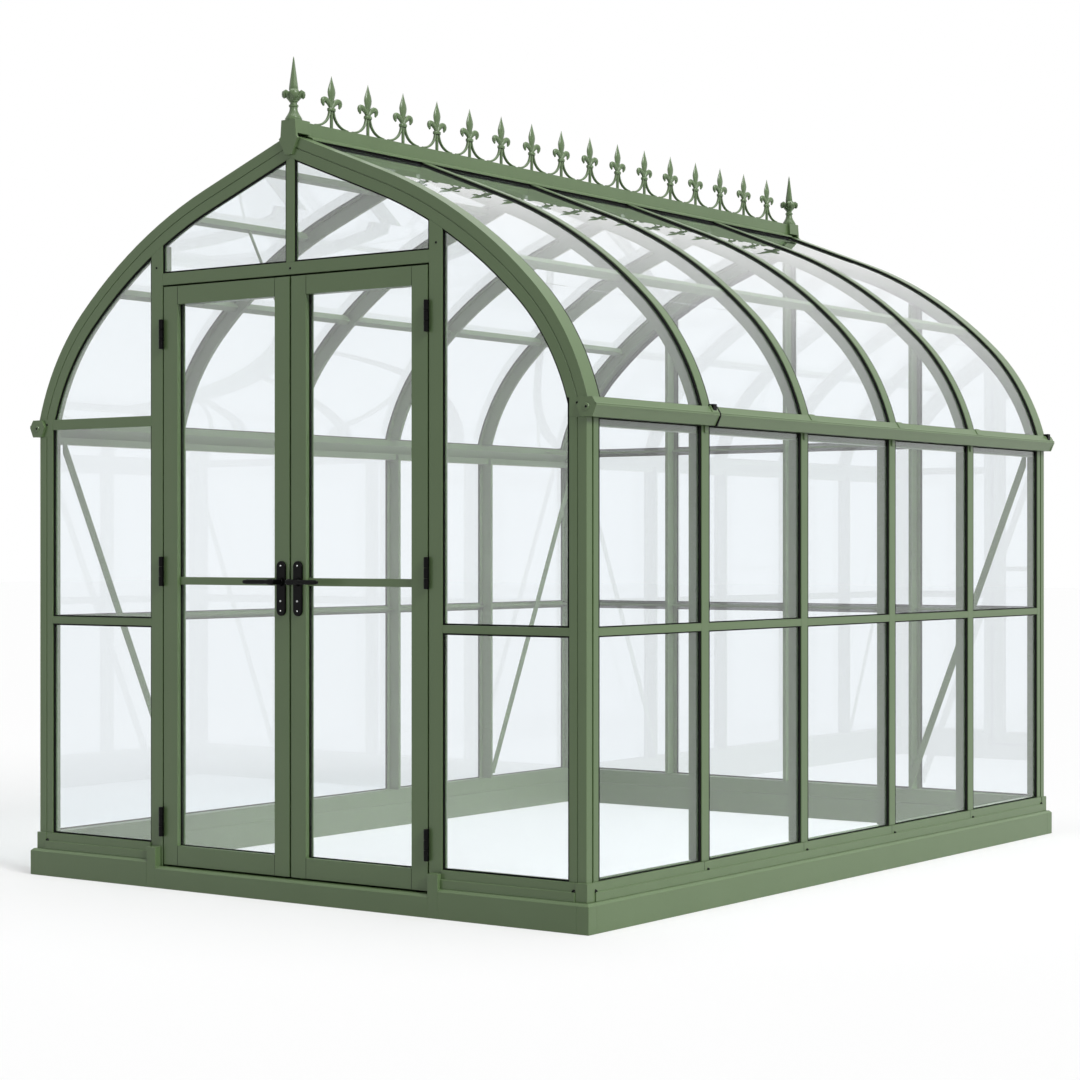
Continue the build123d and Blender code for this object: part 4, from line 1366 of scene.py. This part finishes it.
@dataclass
class GutterFittings:
    """Sleeves, clips, beads, beams and end bosses of the eave gutters, and the shoes at the ribs' feet.

    Attributes:
        half_flat: half the flat on the gutter's top and bottom in metres.
        half_width: half the gutter's width.
        half_height: half its height.
        brow: height of its outer corner above the middle.
        sleeve: length of a joint sleeve along the gutter.
        proud: thickness of a sleeve.
        shoe: thickness of a rib's shoe.
        shoe_inset: distance of a shoe's edges inside the cap's edges.
        shoe_ends: overlap of a shoe past the gutter's crest, and its distance from the outer corner.
        beam: height of the beam behind the glass.
        bead_radius: radius of the bead above the gutter's outer corner.
        blunt: half the height of a sleeve's blunt outer corner.
        clip: size of a clip in X, Y and Z.
        clip_out: distance of a clip outside the foot of the roof.
        clip_sink: depth of a clip's foot below the gutter's top.
        lug: size of a post head's lug in X, Y and Z.
        beam_faces: distance of a beam's inner and outer face behind the wall's face.
        beam_inset: distance of a beam's ends from the gables.
        boss: boss on a gutter's end.
        boss_screw: screw in a boss.
        edge: width of the rounding on the shoes' and beams' edges.
        sleeve_edge: width of the rounding on the sleeves' and clips' edges.
        boss_edge: width of the rounding on the bosses' edges.
    """

    half_flat: float = 20.5 * MM
    half_width: float = 35.5 * MM
    half_height: float = 29 * MM
    brow: float = 4 * MM
    sleeve: float = 7 * MM
    proud: float = 2.2 * MM
    shoe: float = 2.5 * MM
    shoe_inset: float = 2 * MM
    shoe_ends: tuple[float, float] = (3 * MM, 7 * MM)
    beam: float = 24 * MM
    bead_radius: float = 3 * MM
    blunt: float = 5 * MM
    clip: tuple[float, float, float] = (20 * MM, 20 * MM, 24 * MM)
    clip_out: float = 12 * MM
    clip_sink: float = 16 * MM
    lug: tuple[float, float, float] = (6 * MM, 18 * MM, 22 * MM)
    beam_faces: tuple[float, float] = (45 * MM, 14 * MM)
    beam_inset: float = 50 * MM
    boss: Stud = Stud(3 * MM, 11 * MM, 9.5 * MM, 28)
    boss_screw: Stud = Stud(1.5 * MM, 4 * MM, 3 * MM, 16)
    edge: float = 1.0 * MM
    sleeve_edge: float = 0.8 * MM
    boss_edge: float = 0.6 * MM

    def build(self) -> None:
        """Fit both gutters."""
        low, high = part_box("right_eave_gutter")
        middle = Vector(((low.x + high.x) / 2, 0.0, (low.z + high.z) / 2))
        self.sleeves(middle)
        self.shoes(middle)
        self.beams()
        self.beads(middle, low.y, high.y)
        self.bosses(middle, low.y, high.y)

    def sleeves(self, middle: Vector) -> None:
        """Black joint sleeves at the first rib, and black clips on top there and at the back arch.

        Args:
            middle: centre of the right gutter's section.
        """
        bench = Bench()
        flat = self.half_flat + self.proud / 2
        tall = self.half_height + self.proud
        wide = self.half_width
        corners = [
            (-wide, self.brow),
            (-flat, -tall),
            (flat, -tall),
            (wide, self.brow - self.blunt),
            (wide, self.brow + self.blunt),
            (flat, tall),
            (-flat, tall),
        ]
        start = SHELL.rib_lines[0] + SHELL.cap_half
        ring = [bench.mesh.verts.new(middle + Vector((x, start, z))) for x, z in corners]
        face = bench.mesh.faces.new(ring)
        run = bmesh.ops.extrude_face_region(bench.mesh, geom=[face])
        bmesh.ops.translate(bench.mesh, verts=corners_in(run["geom"]), vec=Y_AXIS * self.sleeve)
        clip_x = ROOF.foot[0] + self.clip_out
        clip_z = SHELL.gutter_top - self.clip_sink
        for line in (SHELL.rib_lines[0], SHELL.back_y - SHELL.gable_depth / 2):
            clip = Vector((clip_x, line - self.clip[1] / 2, clip_z))
            bench.block(clip, clip + Vector(self.clip))
        bmesh.ops.recalc_face_normals(bench.mesh, faces=bench.mesh.faces)
        bench.mirror("X")
        bench.round_sharp(bench.mesh.edges, self.sleeve_edge)
        bench.piece("gutter_sleeves", BLACK_COAT, Body.FRAME)

    def shoes(self, middle: Vector) -> None:
        """Flat shoes that carry the ribs' caps down over the gutters, and lugs on the post heads.

        Args:
            middle: centre of the right gutter's section.
        """
        bench = Bench()
        crest = middle + Vector((self.half_flat, 0.0, self.half_height))
        brow = middle + Vector((self.half_width, 0.0, self.brow))
        fall = brow - crest
        turn = Matrix.Rotation(math.atan2(-fall.z, fall.x), 4, "Y")
        half = SHELL.cap_half - self.shoe_inset
        overlap, short = self.shoe_ends
        for line in SHELL.rib_lines:
            place = Matrix.Translation(crest + Y_AXIS * line) @ turn
            low = Vector((-overlap, -half, -MM))
            bench.block(low, Vector((fall.length - short, half, self.shoe)), place)
            lug = Vector((SHELL.wall_x - MM, line - self.lug[1] / 2, SHELL.eave_z - self.lug[2]))
            bench.block(lug, lug + Vector(self.lug))
        bench.mirror("X")
        bench.round_sharp(bench.mesh.edges, self.edge)
        bench.piece("rib_shoes", MOSS_COAT, Body.FRAME)

    def beams(self) -> None:
        """Slim beams behind the glass under the gutters, from gable to gable."""
        bench = Bench()
        inner, outer = (SHELL.wall_x - depth for depth in self.beam_faces)
        low = Vector((inner, SHELL.front_y + self.beam_inset, SHELL.eave_z - self.beam))
        bench.block(low, Vector((outer, SHELL.back_y - self.beam_inset, SHELL.eave_z)))
        bench.mirror("X")
        bench.round_sharp(bench.mesh.edges, self.edge)
        bench.piece("eave_beams", MOSS_COAT, Body.FRAME)

    def beads(self, middle: Vector, front: float, back: float) -> None:
        """Round beads along the gutters, just above their outer corners.

        Args:
            middle: centre of the right gutter's section.
            front: outer face of the front end.
            back: outer face of the back end.
        """
        bench = Bench()
        corner = middle + Vector((self.half_width, 0.0, self.brow))
        rise = Vector((self.half_flat - self.half_width, 0.0, self.half_height - self.brow)).normalized()
        nose = corner + rise * 2 * self.bead_radius + rise.cross(Y_AXIS) * self.bead_radius / 3
        bench.rod(nose + Y_AXIS * front, nose + Y_AXIS * back, self.bead_radius, sides=16)
        bench.mirror("X")
        bench.piece("gutter_beads", MOSS_COAT, Body.FRAME)

    def bosses(self, middle: Vector, front: float, back: float) -> None:
        """Round bosses with a screw on the gutters' ends.

        Args:
            middle: centre of the right gutter's section.
            front: outer face of the front end.
            back: outer face of the back end.
        """
        bosses = Bench()
        screws = Bench()
        for face, out in ((front, -Y_AXIS), (back, Y_AXIS)):
            place = middle + Y_AXIS * face
            bosses.stud(self.boss, place, out)
            screws.stud(self.boss_screw, place + out * self.boss.height, out)
        bosses.mirror("X")
        screws.mirror("X")
        bosses.round_sharp(bosses.mesh.edges, self.boss_edge)
        bosses.piece("gutter_end_bosses", MOSS_COAT, Body.FRAME)
        screws.piece("gutter_end_screws", BLACK_COAT, Body.FRAME)


@dataclass
class Fixings:
    """Bolts in the sills and screws at the joints of the frame.

    Attributes:
        corner_bolt: bolt on a corner foot.
        post_bolt: bolt below a wall post.
        joint_screw: screw at a joint of the frame.
        sill_face: inset of the sill's upper face from the plinth in metres.
        bolt_z: height of the sill bolts.
        seam: width of a sill seam, a thin black strip that paints the shade in the groove.
        seam_proud: height of a sill seam above the sill's face.
        seam_height: length of a sill seam down from the sill's top.
        seam_shift: distance of a seam in front of its post's line.
        bolt_shift: distance of a bolt behind its post's line.
        side_inset: distance of a corner's side bolt from the gable.
        end_inset: distance of a corner's end bolt from the wall's face.
        end_proud: distance of the corner's end face in front of the gable.
        jamb_spot: distance of a jamb's screw from the jamb's edge and above the transom.
        corner_spot: distance of a corner's screw from the wall's face and below the gutter's top.
    """

    corner_bolt: Stud = Stud(4 * MM, 7.5 * MM, 5.625 * MM, 20)
    post_bolt: Stud = Stud(4 * MM, 6 * MM, 4.5 * MM, 16)
    joint_screw: Stud = Stud(2 * MM, 4 * MM, 2.8 * MM, 14)
    sill_face: float = 18 * MM
    bolt_z: float = 119 * MM
    seam: float = 1.5 * MM
    seam_proud: float = 0.3 * MM
    seam_height: float = 27 * MM
    seam_shift: float = 14 * MM
    bolt_shift: float = 8 * MM
    side_inset: float = 38 * MM
    end_inset: float = 42 * MM
    end_proud: float = 5 * MM
    jamb_spot: tuple[float, float] = (24 * MM, 20 * MM)
    corner_spot: tuple[float, float] = (34 * MM, 16 * MM)

    def build(self) -> None:
        """Drive every bolt and screw."""
        self.sill_bolts()
        self.joint_screws()

    def sill_bolts(self) -> None:
        """A bolt and a seam in the sill below each wall post, and two bolts on each corner foot."""
        bolts = Bench()
        seams = Bench()
        face = SHELL.plinth_x - self.sill_face
        for line in SHELL.rib_lines:
            bolts.stud(self.post_bolt, Vector((face, line + self.bolt_shift, self.bolt_z)), X_AXIS)
            # The seam is a thin black strip that paints the shade in the sill's groove
            seam = Vector((face - MM, line - self.seam_shift, SHELL.sill_top - self.seam_height))
            seams.block(seam, seam + Vector((MM + self.seam_proud, self.seam, self.seam_height)))
        for gable, out in SHELL.gables():
            bolts.stud(self.corner_bolt, Vector((face, gable - out * self.side_inset, self.bolt_z)), X_AXIS)
            end = Vector((SHELL.wall_x - self.end_inset, gable + out * self.end_proud, self.bolt_z))
            bolts.stud(self.corner_bolt, end, Y_AXIS * out)
        bolts.mirror("X")
        seams.mirror("X")
        bolts.piece("sill_bolts", BLACK_COAT, Body.FRAME)
        seams.piece("sill_seam_shade", SEAL_AND_SHADE_BLACK, Body.FRAME)

    def joint_screws(self) -> None:
        """Screws where the transom, jambs, corner posts and arches meet."""
        screws = Bench()
        transom_low, transom_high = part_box("door_transom")
        transom_z = (transom_low.z + transom_high.z) / 2
        jamb_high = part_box("door_jambs")[1].x
        spots = [
            (0.0, transom_z),
            (jamb_high - self.jamb_spot[0], transom_high.z + self.jamb_spot[1]),
            (SHELL.wall_x - self.corner_spot[0], SHELL.gutter_top - self.corner_spot[1]),
        ]
        for x, z in spots:
            for gable, out in SHELL.gables():
                if out == 1 and x < jamb_high:
                    continue
                for hand in (-1, 1) if x else (1,):
                    screws.stud(self.joint_screw, Vector((hand * x, gable, z)), Y_AXIS * out)
        screws.piece("joint_screws", BLACK_COAT, Body.FRAME)


@dataclass
class DoorFurniture:
    """Hinges, handle plates and levers of the two doors.

    Attributes:
        barrel_radius: radius of a hinge's barrel in metres.
        barrel_set_out: distance of the hinge pin in front of the doors.
        leaf: thickness of a hinge leaf.
        leaf_depth: depth of a hinge leaf in the gap.
        knuckle_gap: gap between two knuckles.
        plate_size: width, thickness and height of a handle plate.
        standoff: distance of a lever's arm from its plate.
        arm: reach, half height and half thickness of each section of a lever's arm in millimetres.
        arm_half: half the thickness of an arm in metres.
        pin_gap: distance of the hinge pin from the door's edge.
        leaf_gap: distance of a hinge leaf from the pin's plane.
        rim: width of the rounded rim of a knuckle.
        lever_end: distance of a lever's axis from its blunt end.
        plate_rise: height of a plate's top above the lever's axis.
        plate_flat: half the flat that is left between a plate's rounded corners.
        plate_rim: width of the rounding on a plate's edge.
        plate_screw: screw in a plate.
        screw_insets: distance of the plate screws from its top and its foot.
        lock: lock cylinder in a plate.
        lock_rise: height of the lock cylinder above the plate's foot.
        play: gap between a plate and the lever's neck.
        neck: neck of a lever on its plate.
        spindle_radius: radius of the lever's spindle.
        lever_edge: width of the rounding on a lever's edges.
    """

    barrel_radius: float = 8.5 * MM
    barrel_set_out: float = 9 * MM
    leaf: float = 2.2 * MM
    leaf_depth: float = 30 * MM
    knuckle_gap: float = 0.5 * MM
    plate_size: tuple[float, float, float] = (36 * MM, 7 * MM, 174 * MM)
    standoff: float = 36 * MM
    arm: tuple[tuple[float, float, float], ...] = (
        (-9.5, 4.0, 3.0), (-8.5, 7.0, 5.0), (-4.0, 9.6, 5.9), (4.0, 10.0, 5.9), (14.0, 9.0, 5.9),
        (22.0, 7.0, 5.8), (27.0, 5.6, 5.2), (28.5, 7.2, 5.9), (60.0, 7.6, 5.9), (105.0, 7.4, 5.9),
        (116.0, 6.6, 5.6), (121.0, 4.6, 4.2), (123.5, 1.0, 1.0),
    )
    arm_half: float = 5.5 * MM
    pin_gap: float = 3 * MM
    leaf_gap: float = 0.5 * MM
    rim: float = 1.2 * MM
    lever_end: float = 10 * MM
    plate_rise: float = 66 * MM
    plate_flat: float = 0.1 * MM
    plate_rim: float = 2.2 * MM
    plate_screw: Stud = Stud(1.2 * MM, 2.8 * MM, 2.0 * MM, 16)
    screw_insets: tuple[float, float] = (15 * MM, 16 * MM)
    lock: Stud = Stud(1.5 * MM, 3.4 * MM, 2.8 * MM, 20)
    lock_rise: float = 47 * MM
    play: float = 0.5 * MM
    neck: Stud = Stud(8 * MM, 14 * MM, 13 * MM, 32)
    spindle_radius: float = 8.5 * MM
    lever_edge: float = 0.8 * MM

    def build(self) -> None:
        """Fit both doors."""
        levels = sorted({round((low.z + high.z) / 2, 4) for low, high in solid_boxes("jamb_hinges")})
        tall = min(high.z - low.z for low, high in solid_boxes("jamb_hinges"))
        self.jamb_hinges(levels, tall)
        for side in Side:
            self.door_iron(side, levels, tall)
            self.screws(side)
            self.lever(side)

    def hinge_axis(self, side: Side) -> Vector:
        """Foot of a door's hinge axis on the floor."""
        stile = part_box(f"{side.word}_door_stiles")
        edge = stile[1].x if side is Side.RIGHT else stile[0].x
        return Vector((edge + side.value * self.pin_gap, SHELL.front_y - self.barrel_set_out, 0.0))

    def handle_axis(self, side: Side) -> Vector:
        """Point of a lever's axis on the door's front face."""
        low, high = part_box(f"{side.word}_door_lever")
        inner = low.x if side is Side.RIGHT else high.x
        return Vector((inner + side.value * self.lever_end, SHELL.front_y, (low.z + high.z) / 2))

    def knuckle(self, bench: Bench, axis: Vector, low: float, high: float) -> None:
        """Add one knuckle of a hinge with rounded rims.

        Args:
            bench: piece in the making.
            axis: foot of the hinge axis.
            low: height of its foot.
            high: height of its head.
        """
        inner = self.barrel_radius - self.rim
        points = [(0.0, low), (inner, low), (self.barrel_radius, low + self.rim)]
        points += [(self.barrel_radius, high - self.rim), (inner, high), (0.0, high)]
        bench.turn_profile(points, axis, steps=24)

    def jamb_hinges(self, levels: list[float], tall: float) -> None:
        """Upper and lower knuckle and the jamb leaf of each hinge.

        Args:
            levels: heights of the hinges' middles.
            tall: height of a hinge.
        """
        bench = Bench()
        for side in Side:
            axis = self.hinge_axis(side)
            for level in levels:
                low = level - tall / 2
                self.knuckle(bench, axis, low, low + tall / 3)
                self.knuckle(bench, axis, low + 2 * tall / 3, low + tall)
                near = axis.x + side.value * self.leaf_gap
                far = near + side.value * self.leaf
                self.leaf_plate(bench, near, far, axis.y, low, low + tall / 3)
                self.leaf_plate(bench, near, far, axis.y, low + 2 * tall / 3, low + tall)
                self.leaf_plate(bench, near, far, SHELL.front_y, low, low + tall)
        bench.piece("jamb_hinge_halves", BLACK_COAT, Body.FRAME, ("jamb_hinges",))

    def leaf_plate(
        self, bench: Bench, near: float, far: float, start: float, low: float, high: float
    ) -> None:
        """Add a flat part of a hinge leaf in the gap beside the door.

        Args:
            bench: piece in the making.
            near: face towards the pin.
            far: face away from the pin.
            start: front edge along Y.
            low: height of its foot.
            high: height of its head.
        """
        end = SHELL.front_y + self.leaf_depth
        bench.block(Vector((min(near, far), start, low)), Vector((max(near, far), end, high)))

    def door_iron(self, side: Side, levels: list[float], tall: float) -> None:
        """Middle knuckle and door leaf of each hinge, and the two handle plates.

        Args:
            side: side of the door.
            levels: heights of the hinges' middles.
            tall: height of a hinge.
        """
        bench = Bench()
        axis = self.hinge_axis(side)
        for level in levels:
            low = level - tall / 6 + self.knuckle_gap
            high = level + tall / 6 - self.knuckle_gap
            self.knuckle(bench, axis, low, high)
            near = axis.x - side.value * self.leaf_gap
            far = near - side.value * self.leaf
            self.leaf_plate(bench, near, far, axis.y, low, high)
            self.leaf_plate(bench, near, far, SHELL.front_y, level - tall / 2, level + tall / 2)
        for face, out in door_faces(side):
            self.plate(bench, side, face, out)
        bench.piece(
            f"{side.word}_hinge_halves_and_plates",
            BLACK_COAT,
            side.door,
            (f"{side.word}_door_ironmongery",),
        )

    def plate_middle(self, side: Side) -> Vector:
        """Middle of a handle plate on the door's front face."""
        axis = self.handle_axis(side)
        return axis + Z_AXIS * (self.plate_rise - self.plate_size[2] / 2)

    def plate(self, bench: Bench, side: Side, face: float, out: int) -> None:
        """Add a round-ended handle plate.

        Args:
            bench: piece in the making.
            side: side of the door.
            face: door face that it lies on.
            out: direction that it stands out in along Y.
        """
        wide, thick, tall = self.plate_size
        middle = self.plate_middle(side)
        middle.y = face + out * thick / 2
        half = Vector((wide / 2, thick / 2, tall / 2))
        corners = bench.block(middle - half, middle + half)
        across = [
            edge for edge in edges_at(corners) if abs((edge.verts[0].co - edge.verts[1].co).y) > thick / 2
        ]
        rounded = bench.bevel(across, wide / 2 - self.plate_flat, segments=12)
        front = face + out * thick
        rim = [
            edge
            for edge in edges_at(rounded)
            if all(abs(corner.co.y - front) < SAME_PLACE for corner in edge.verts)
        ]
        bench.round_sharp(rim, self.plate_rim, segments=3)

    def screws(self, side: Side) -> None:
        """Bright plate screws and the lock cylinder on both faces of a door.

        Args:
            side: side of the door.
        """
        steel = Bench()
        middle = self.plate_middle(side)
        tall = self.plate_size[2]
        for face, out in door_faces(side):
            skin = face + out * self.plate_size[1]
            for up in (tall / 2 - self.screw_insets[0], self.screw_insets[1] - tall / 2):
                head = Vector((middle.x, skin, middle.z + up))
                steel.stud(self.plate_screw, head, Y_AXIS * out)
            lock = Vector((middle.x, skin, middle.z + self.lock_rise - tall / 2))
            steel.stud(self.lock, lock, Y_AXIS * out)
        steel.piece(f"{side.word}_plate_screws", SCREW_STEEL, side.door)

    def lever(self, side: Side) -> None:
        """Two tapered levers on one spindle, with a round neck at each plate.

        Args:
            side: side of the door.
        """
        bench = Bench()
        axis = self.handle_axis(side)
        for face, out in door_faces(side):
            skin = Vector((axis.x, face + out * (self.plate_size[1] + self.play), axis.z))
            arm_y = skin.y + out * (self.standoff + self.arm_half)
            bench.stud(self.neck, skin, Y_AXIS * out)
            bench.rod(skin, Vector((axis.x, arm_y, axis.z)), self.spindle_radius, sides=24)
            row = []
            for reach, tall, thick in self.arm:
                centre = Vector((axis.x + side.value * reach * MM, arm_y, axis.z))
                row.append(Station(centre, Z_AXIS * tall * MM, Y_AXIS * thick * MM))
            bench.sweep(row, sides=20)
        bench.round_sharp(bench.mesh.edges, self.lever_edge)
        shown_for = (f"{side.word}_door_lever",)
        bench.piece(f"{side.word}_lever_pair", BLACK_COAT, side.lever, shown_for)


@dataclass
class Studio:
    """White studio with soft light and the camera of the reference view.

    Attributes:
        camera_place: lens position in metres.
        camera_yaw: turn of the view to the left of the part's length in degrees.
        lens_mm: focal length in millimetres.
        sensor_mm: width of the sensor in millimetres.
        shift_up: vertical lens shift as a share of the frame.
        floor_reach: half the floor's width in metres.
        ambient: strength of the even light from all round.
        lamps: name, direction from the part, strength and spread in degrees of each lamp.
        lamp_reach: distance of the lamps from the part.
    """

    camera_place: Vector = field(default_factory=lambda: Vector((5.238, -7.471, 1.114)))
    camera_yaw: float = 35.8
    lens_mm: float = 82.7
    sensor_mm: float = 36.0
    shift_up: float = 0.009
    floor_reach: float = 60.0
    ambient: float = 0.06
    lamps: tuple[tuple[str, tuple[float, float, float], float, float], ...] = (
        ("key_lamp", (0.80, -0.16, 0.58), 2.4, 24.0),
        ("fill_lamp", (-0.45, -0.80, 0.35), 0.05, 90.0),
        ("top_lamp", (0.05, 0.05, 1.0), 1.8, 50.0),
    )
    lamp_reach: float = 8.0

    def build(self) -> None:
        """Set the floor, world, lamps and camera."""
        self.lay_floor()
        self.light_world()
        for name, source, strength, spread in self.lamps:
            self.hang_lamp(name, Vector(source), strength, spread)
        self.set_camera()
        bpy.context.scene.view_settings.view_transform = "Standard"

    def lay_floor(self) -> None:
        """Lay the pale floor under the part."""
        grid = bmesh.new()
        bmesh.ops.create_grid(grid, x_segments=1, y_segments=1, size=self.floor_reach)
        data = bpy.data.meshes.new("studio_floor")
        grid.to_mesh(data)
        grid.free()
        data.materials.append(PAPER.material())
        floor = bpy.data.objects.new("studio_floor", data)
        bpy.context.scene.collection.objects.link(floor)

    def light_world(self) -> None:
        """Fill the world with even light that shows white to the camera, mirrors and glass."""
        world = bpy.data.worlds.new("studio_world")
        bpy.context.scene.world = world
        world.use_nodes = True
        tree = world.node_tree
        tree.nodes.clear()
        strength = add_node(
            tree, "ShaderNodeMapRange", {"Value": seen_directly(tree), "To Min": self.ambient, "To Max": 1.0}
        )
        sky = add_node(
            tree, "ShaderNodeBackground", {"Color": linear("#ffffff"), "Strength": strength.outputs["Result"]}
        )
        add_node(tree, "ShaderNodeOutputWorld", {"Surface": sky.outputs["Background"]})

    def hang_lamp(self, name: str, source: Vector, strength: float, spread: float) -> None:
        """Hang a far soft lamp that lights everything evenly.

        Args:
            name: name of the lamp.
            source: direction from the part to the lamp.
            strength: light on a surface that faces the lamp, in watts per square metre.
            spread: angle that the lamp fills in degrees.
        """
        lamp = bpy.data.lights.new(name, "SUN")
        lamp.energy = strength
        lamp.angle = math.radians(spread)
        hung = bpy.data.objects.new(name, lamp)
        hung.location = source.normalized() * self.lamp_reach
        hung.rotation_euler = source.to_track_quat("Z", "Y").to_euler()
        hung.visible_transmission = False
        bpy.context.scene.collection.objects.link(hung)

    def set_camera(self) -> None:
        """Stand the camera at the reference view."""
        lens = bpy.data.cameras.new("reference_camera")
        lens.sensor_width = self.sensor_mm
        lens.lens = self.lens_mm
        lens.shift_y = self.shift_up
        camera = bpy.data.objects.new("reference_camera", lens)
        camera.location = self.camera_place
        camera.rotation_euler = (math.radians(90), 0.0, math.radians(self.camera_yaw))
        bpy.context.scene.collection.objects.link(camera)
        bpy.context.scene.camera = camera


def main() -> None:
    """Build the sub-assemblies in order."""
    logging.basicConfig(level=logging.INFO, format="%(message)s")
    CoatedFrame().dress()
    Glazing().dress()
    InnerBeads().build()
    GlazingSeals().build()
    Cresting().build()
    GutterFittings().build()
    Fixings().build()
    DoorFurniture().build()
    Studio().build()


if __name__ == "__main__":
    main()
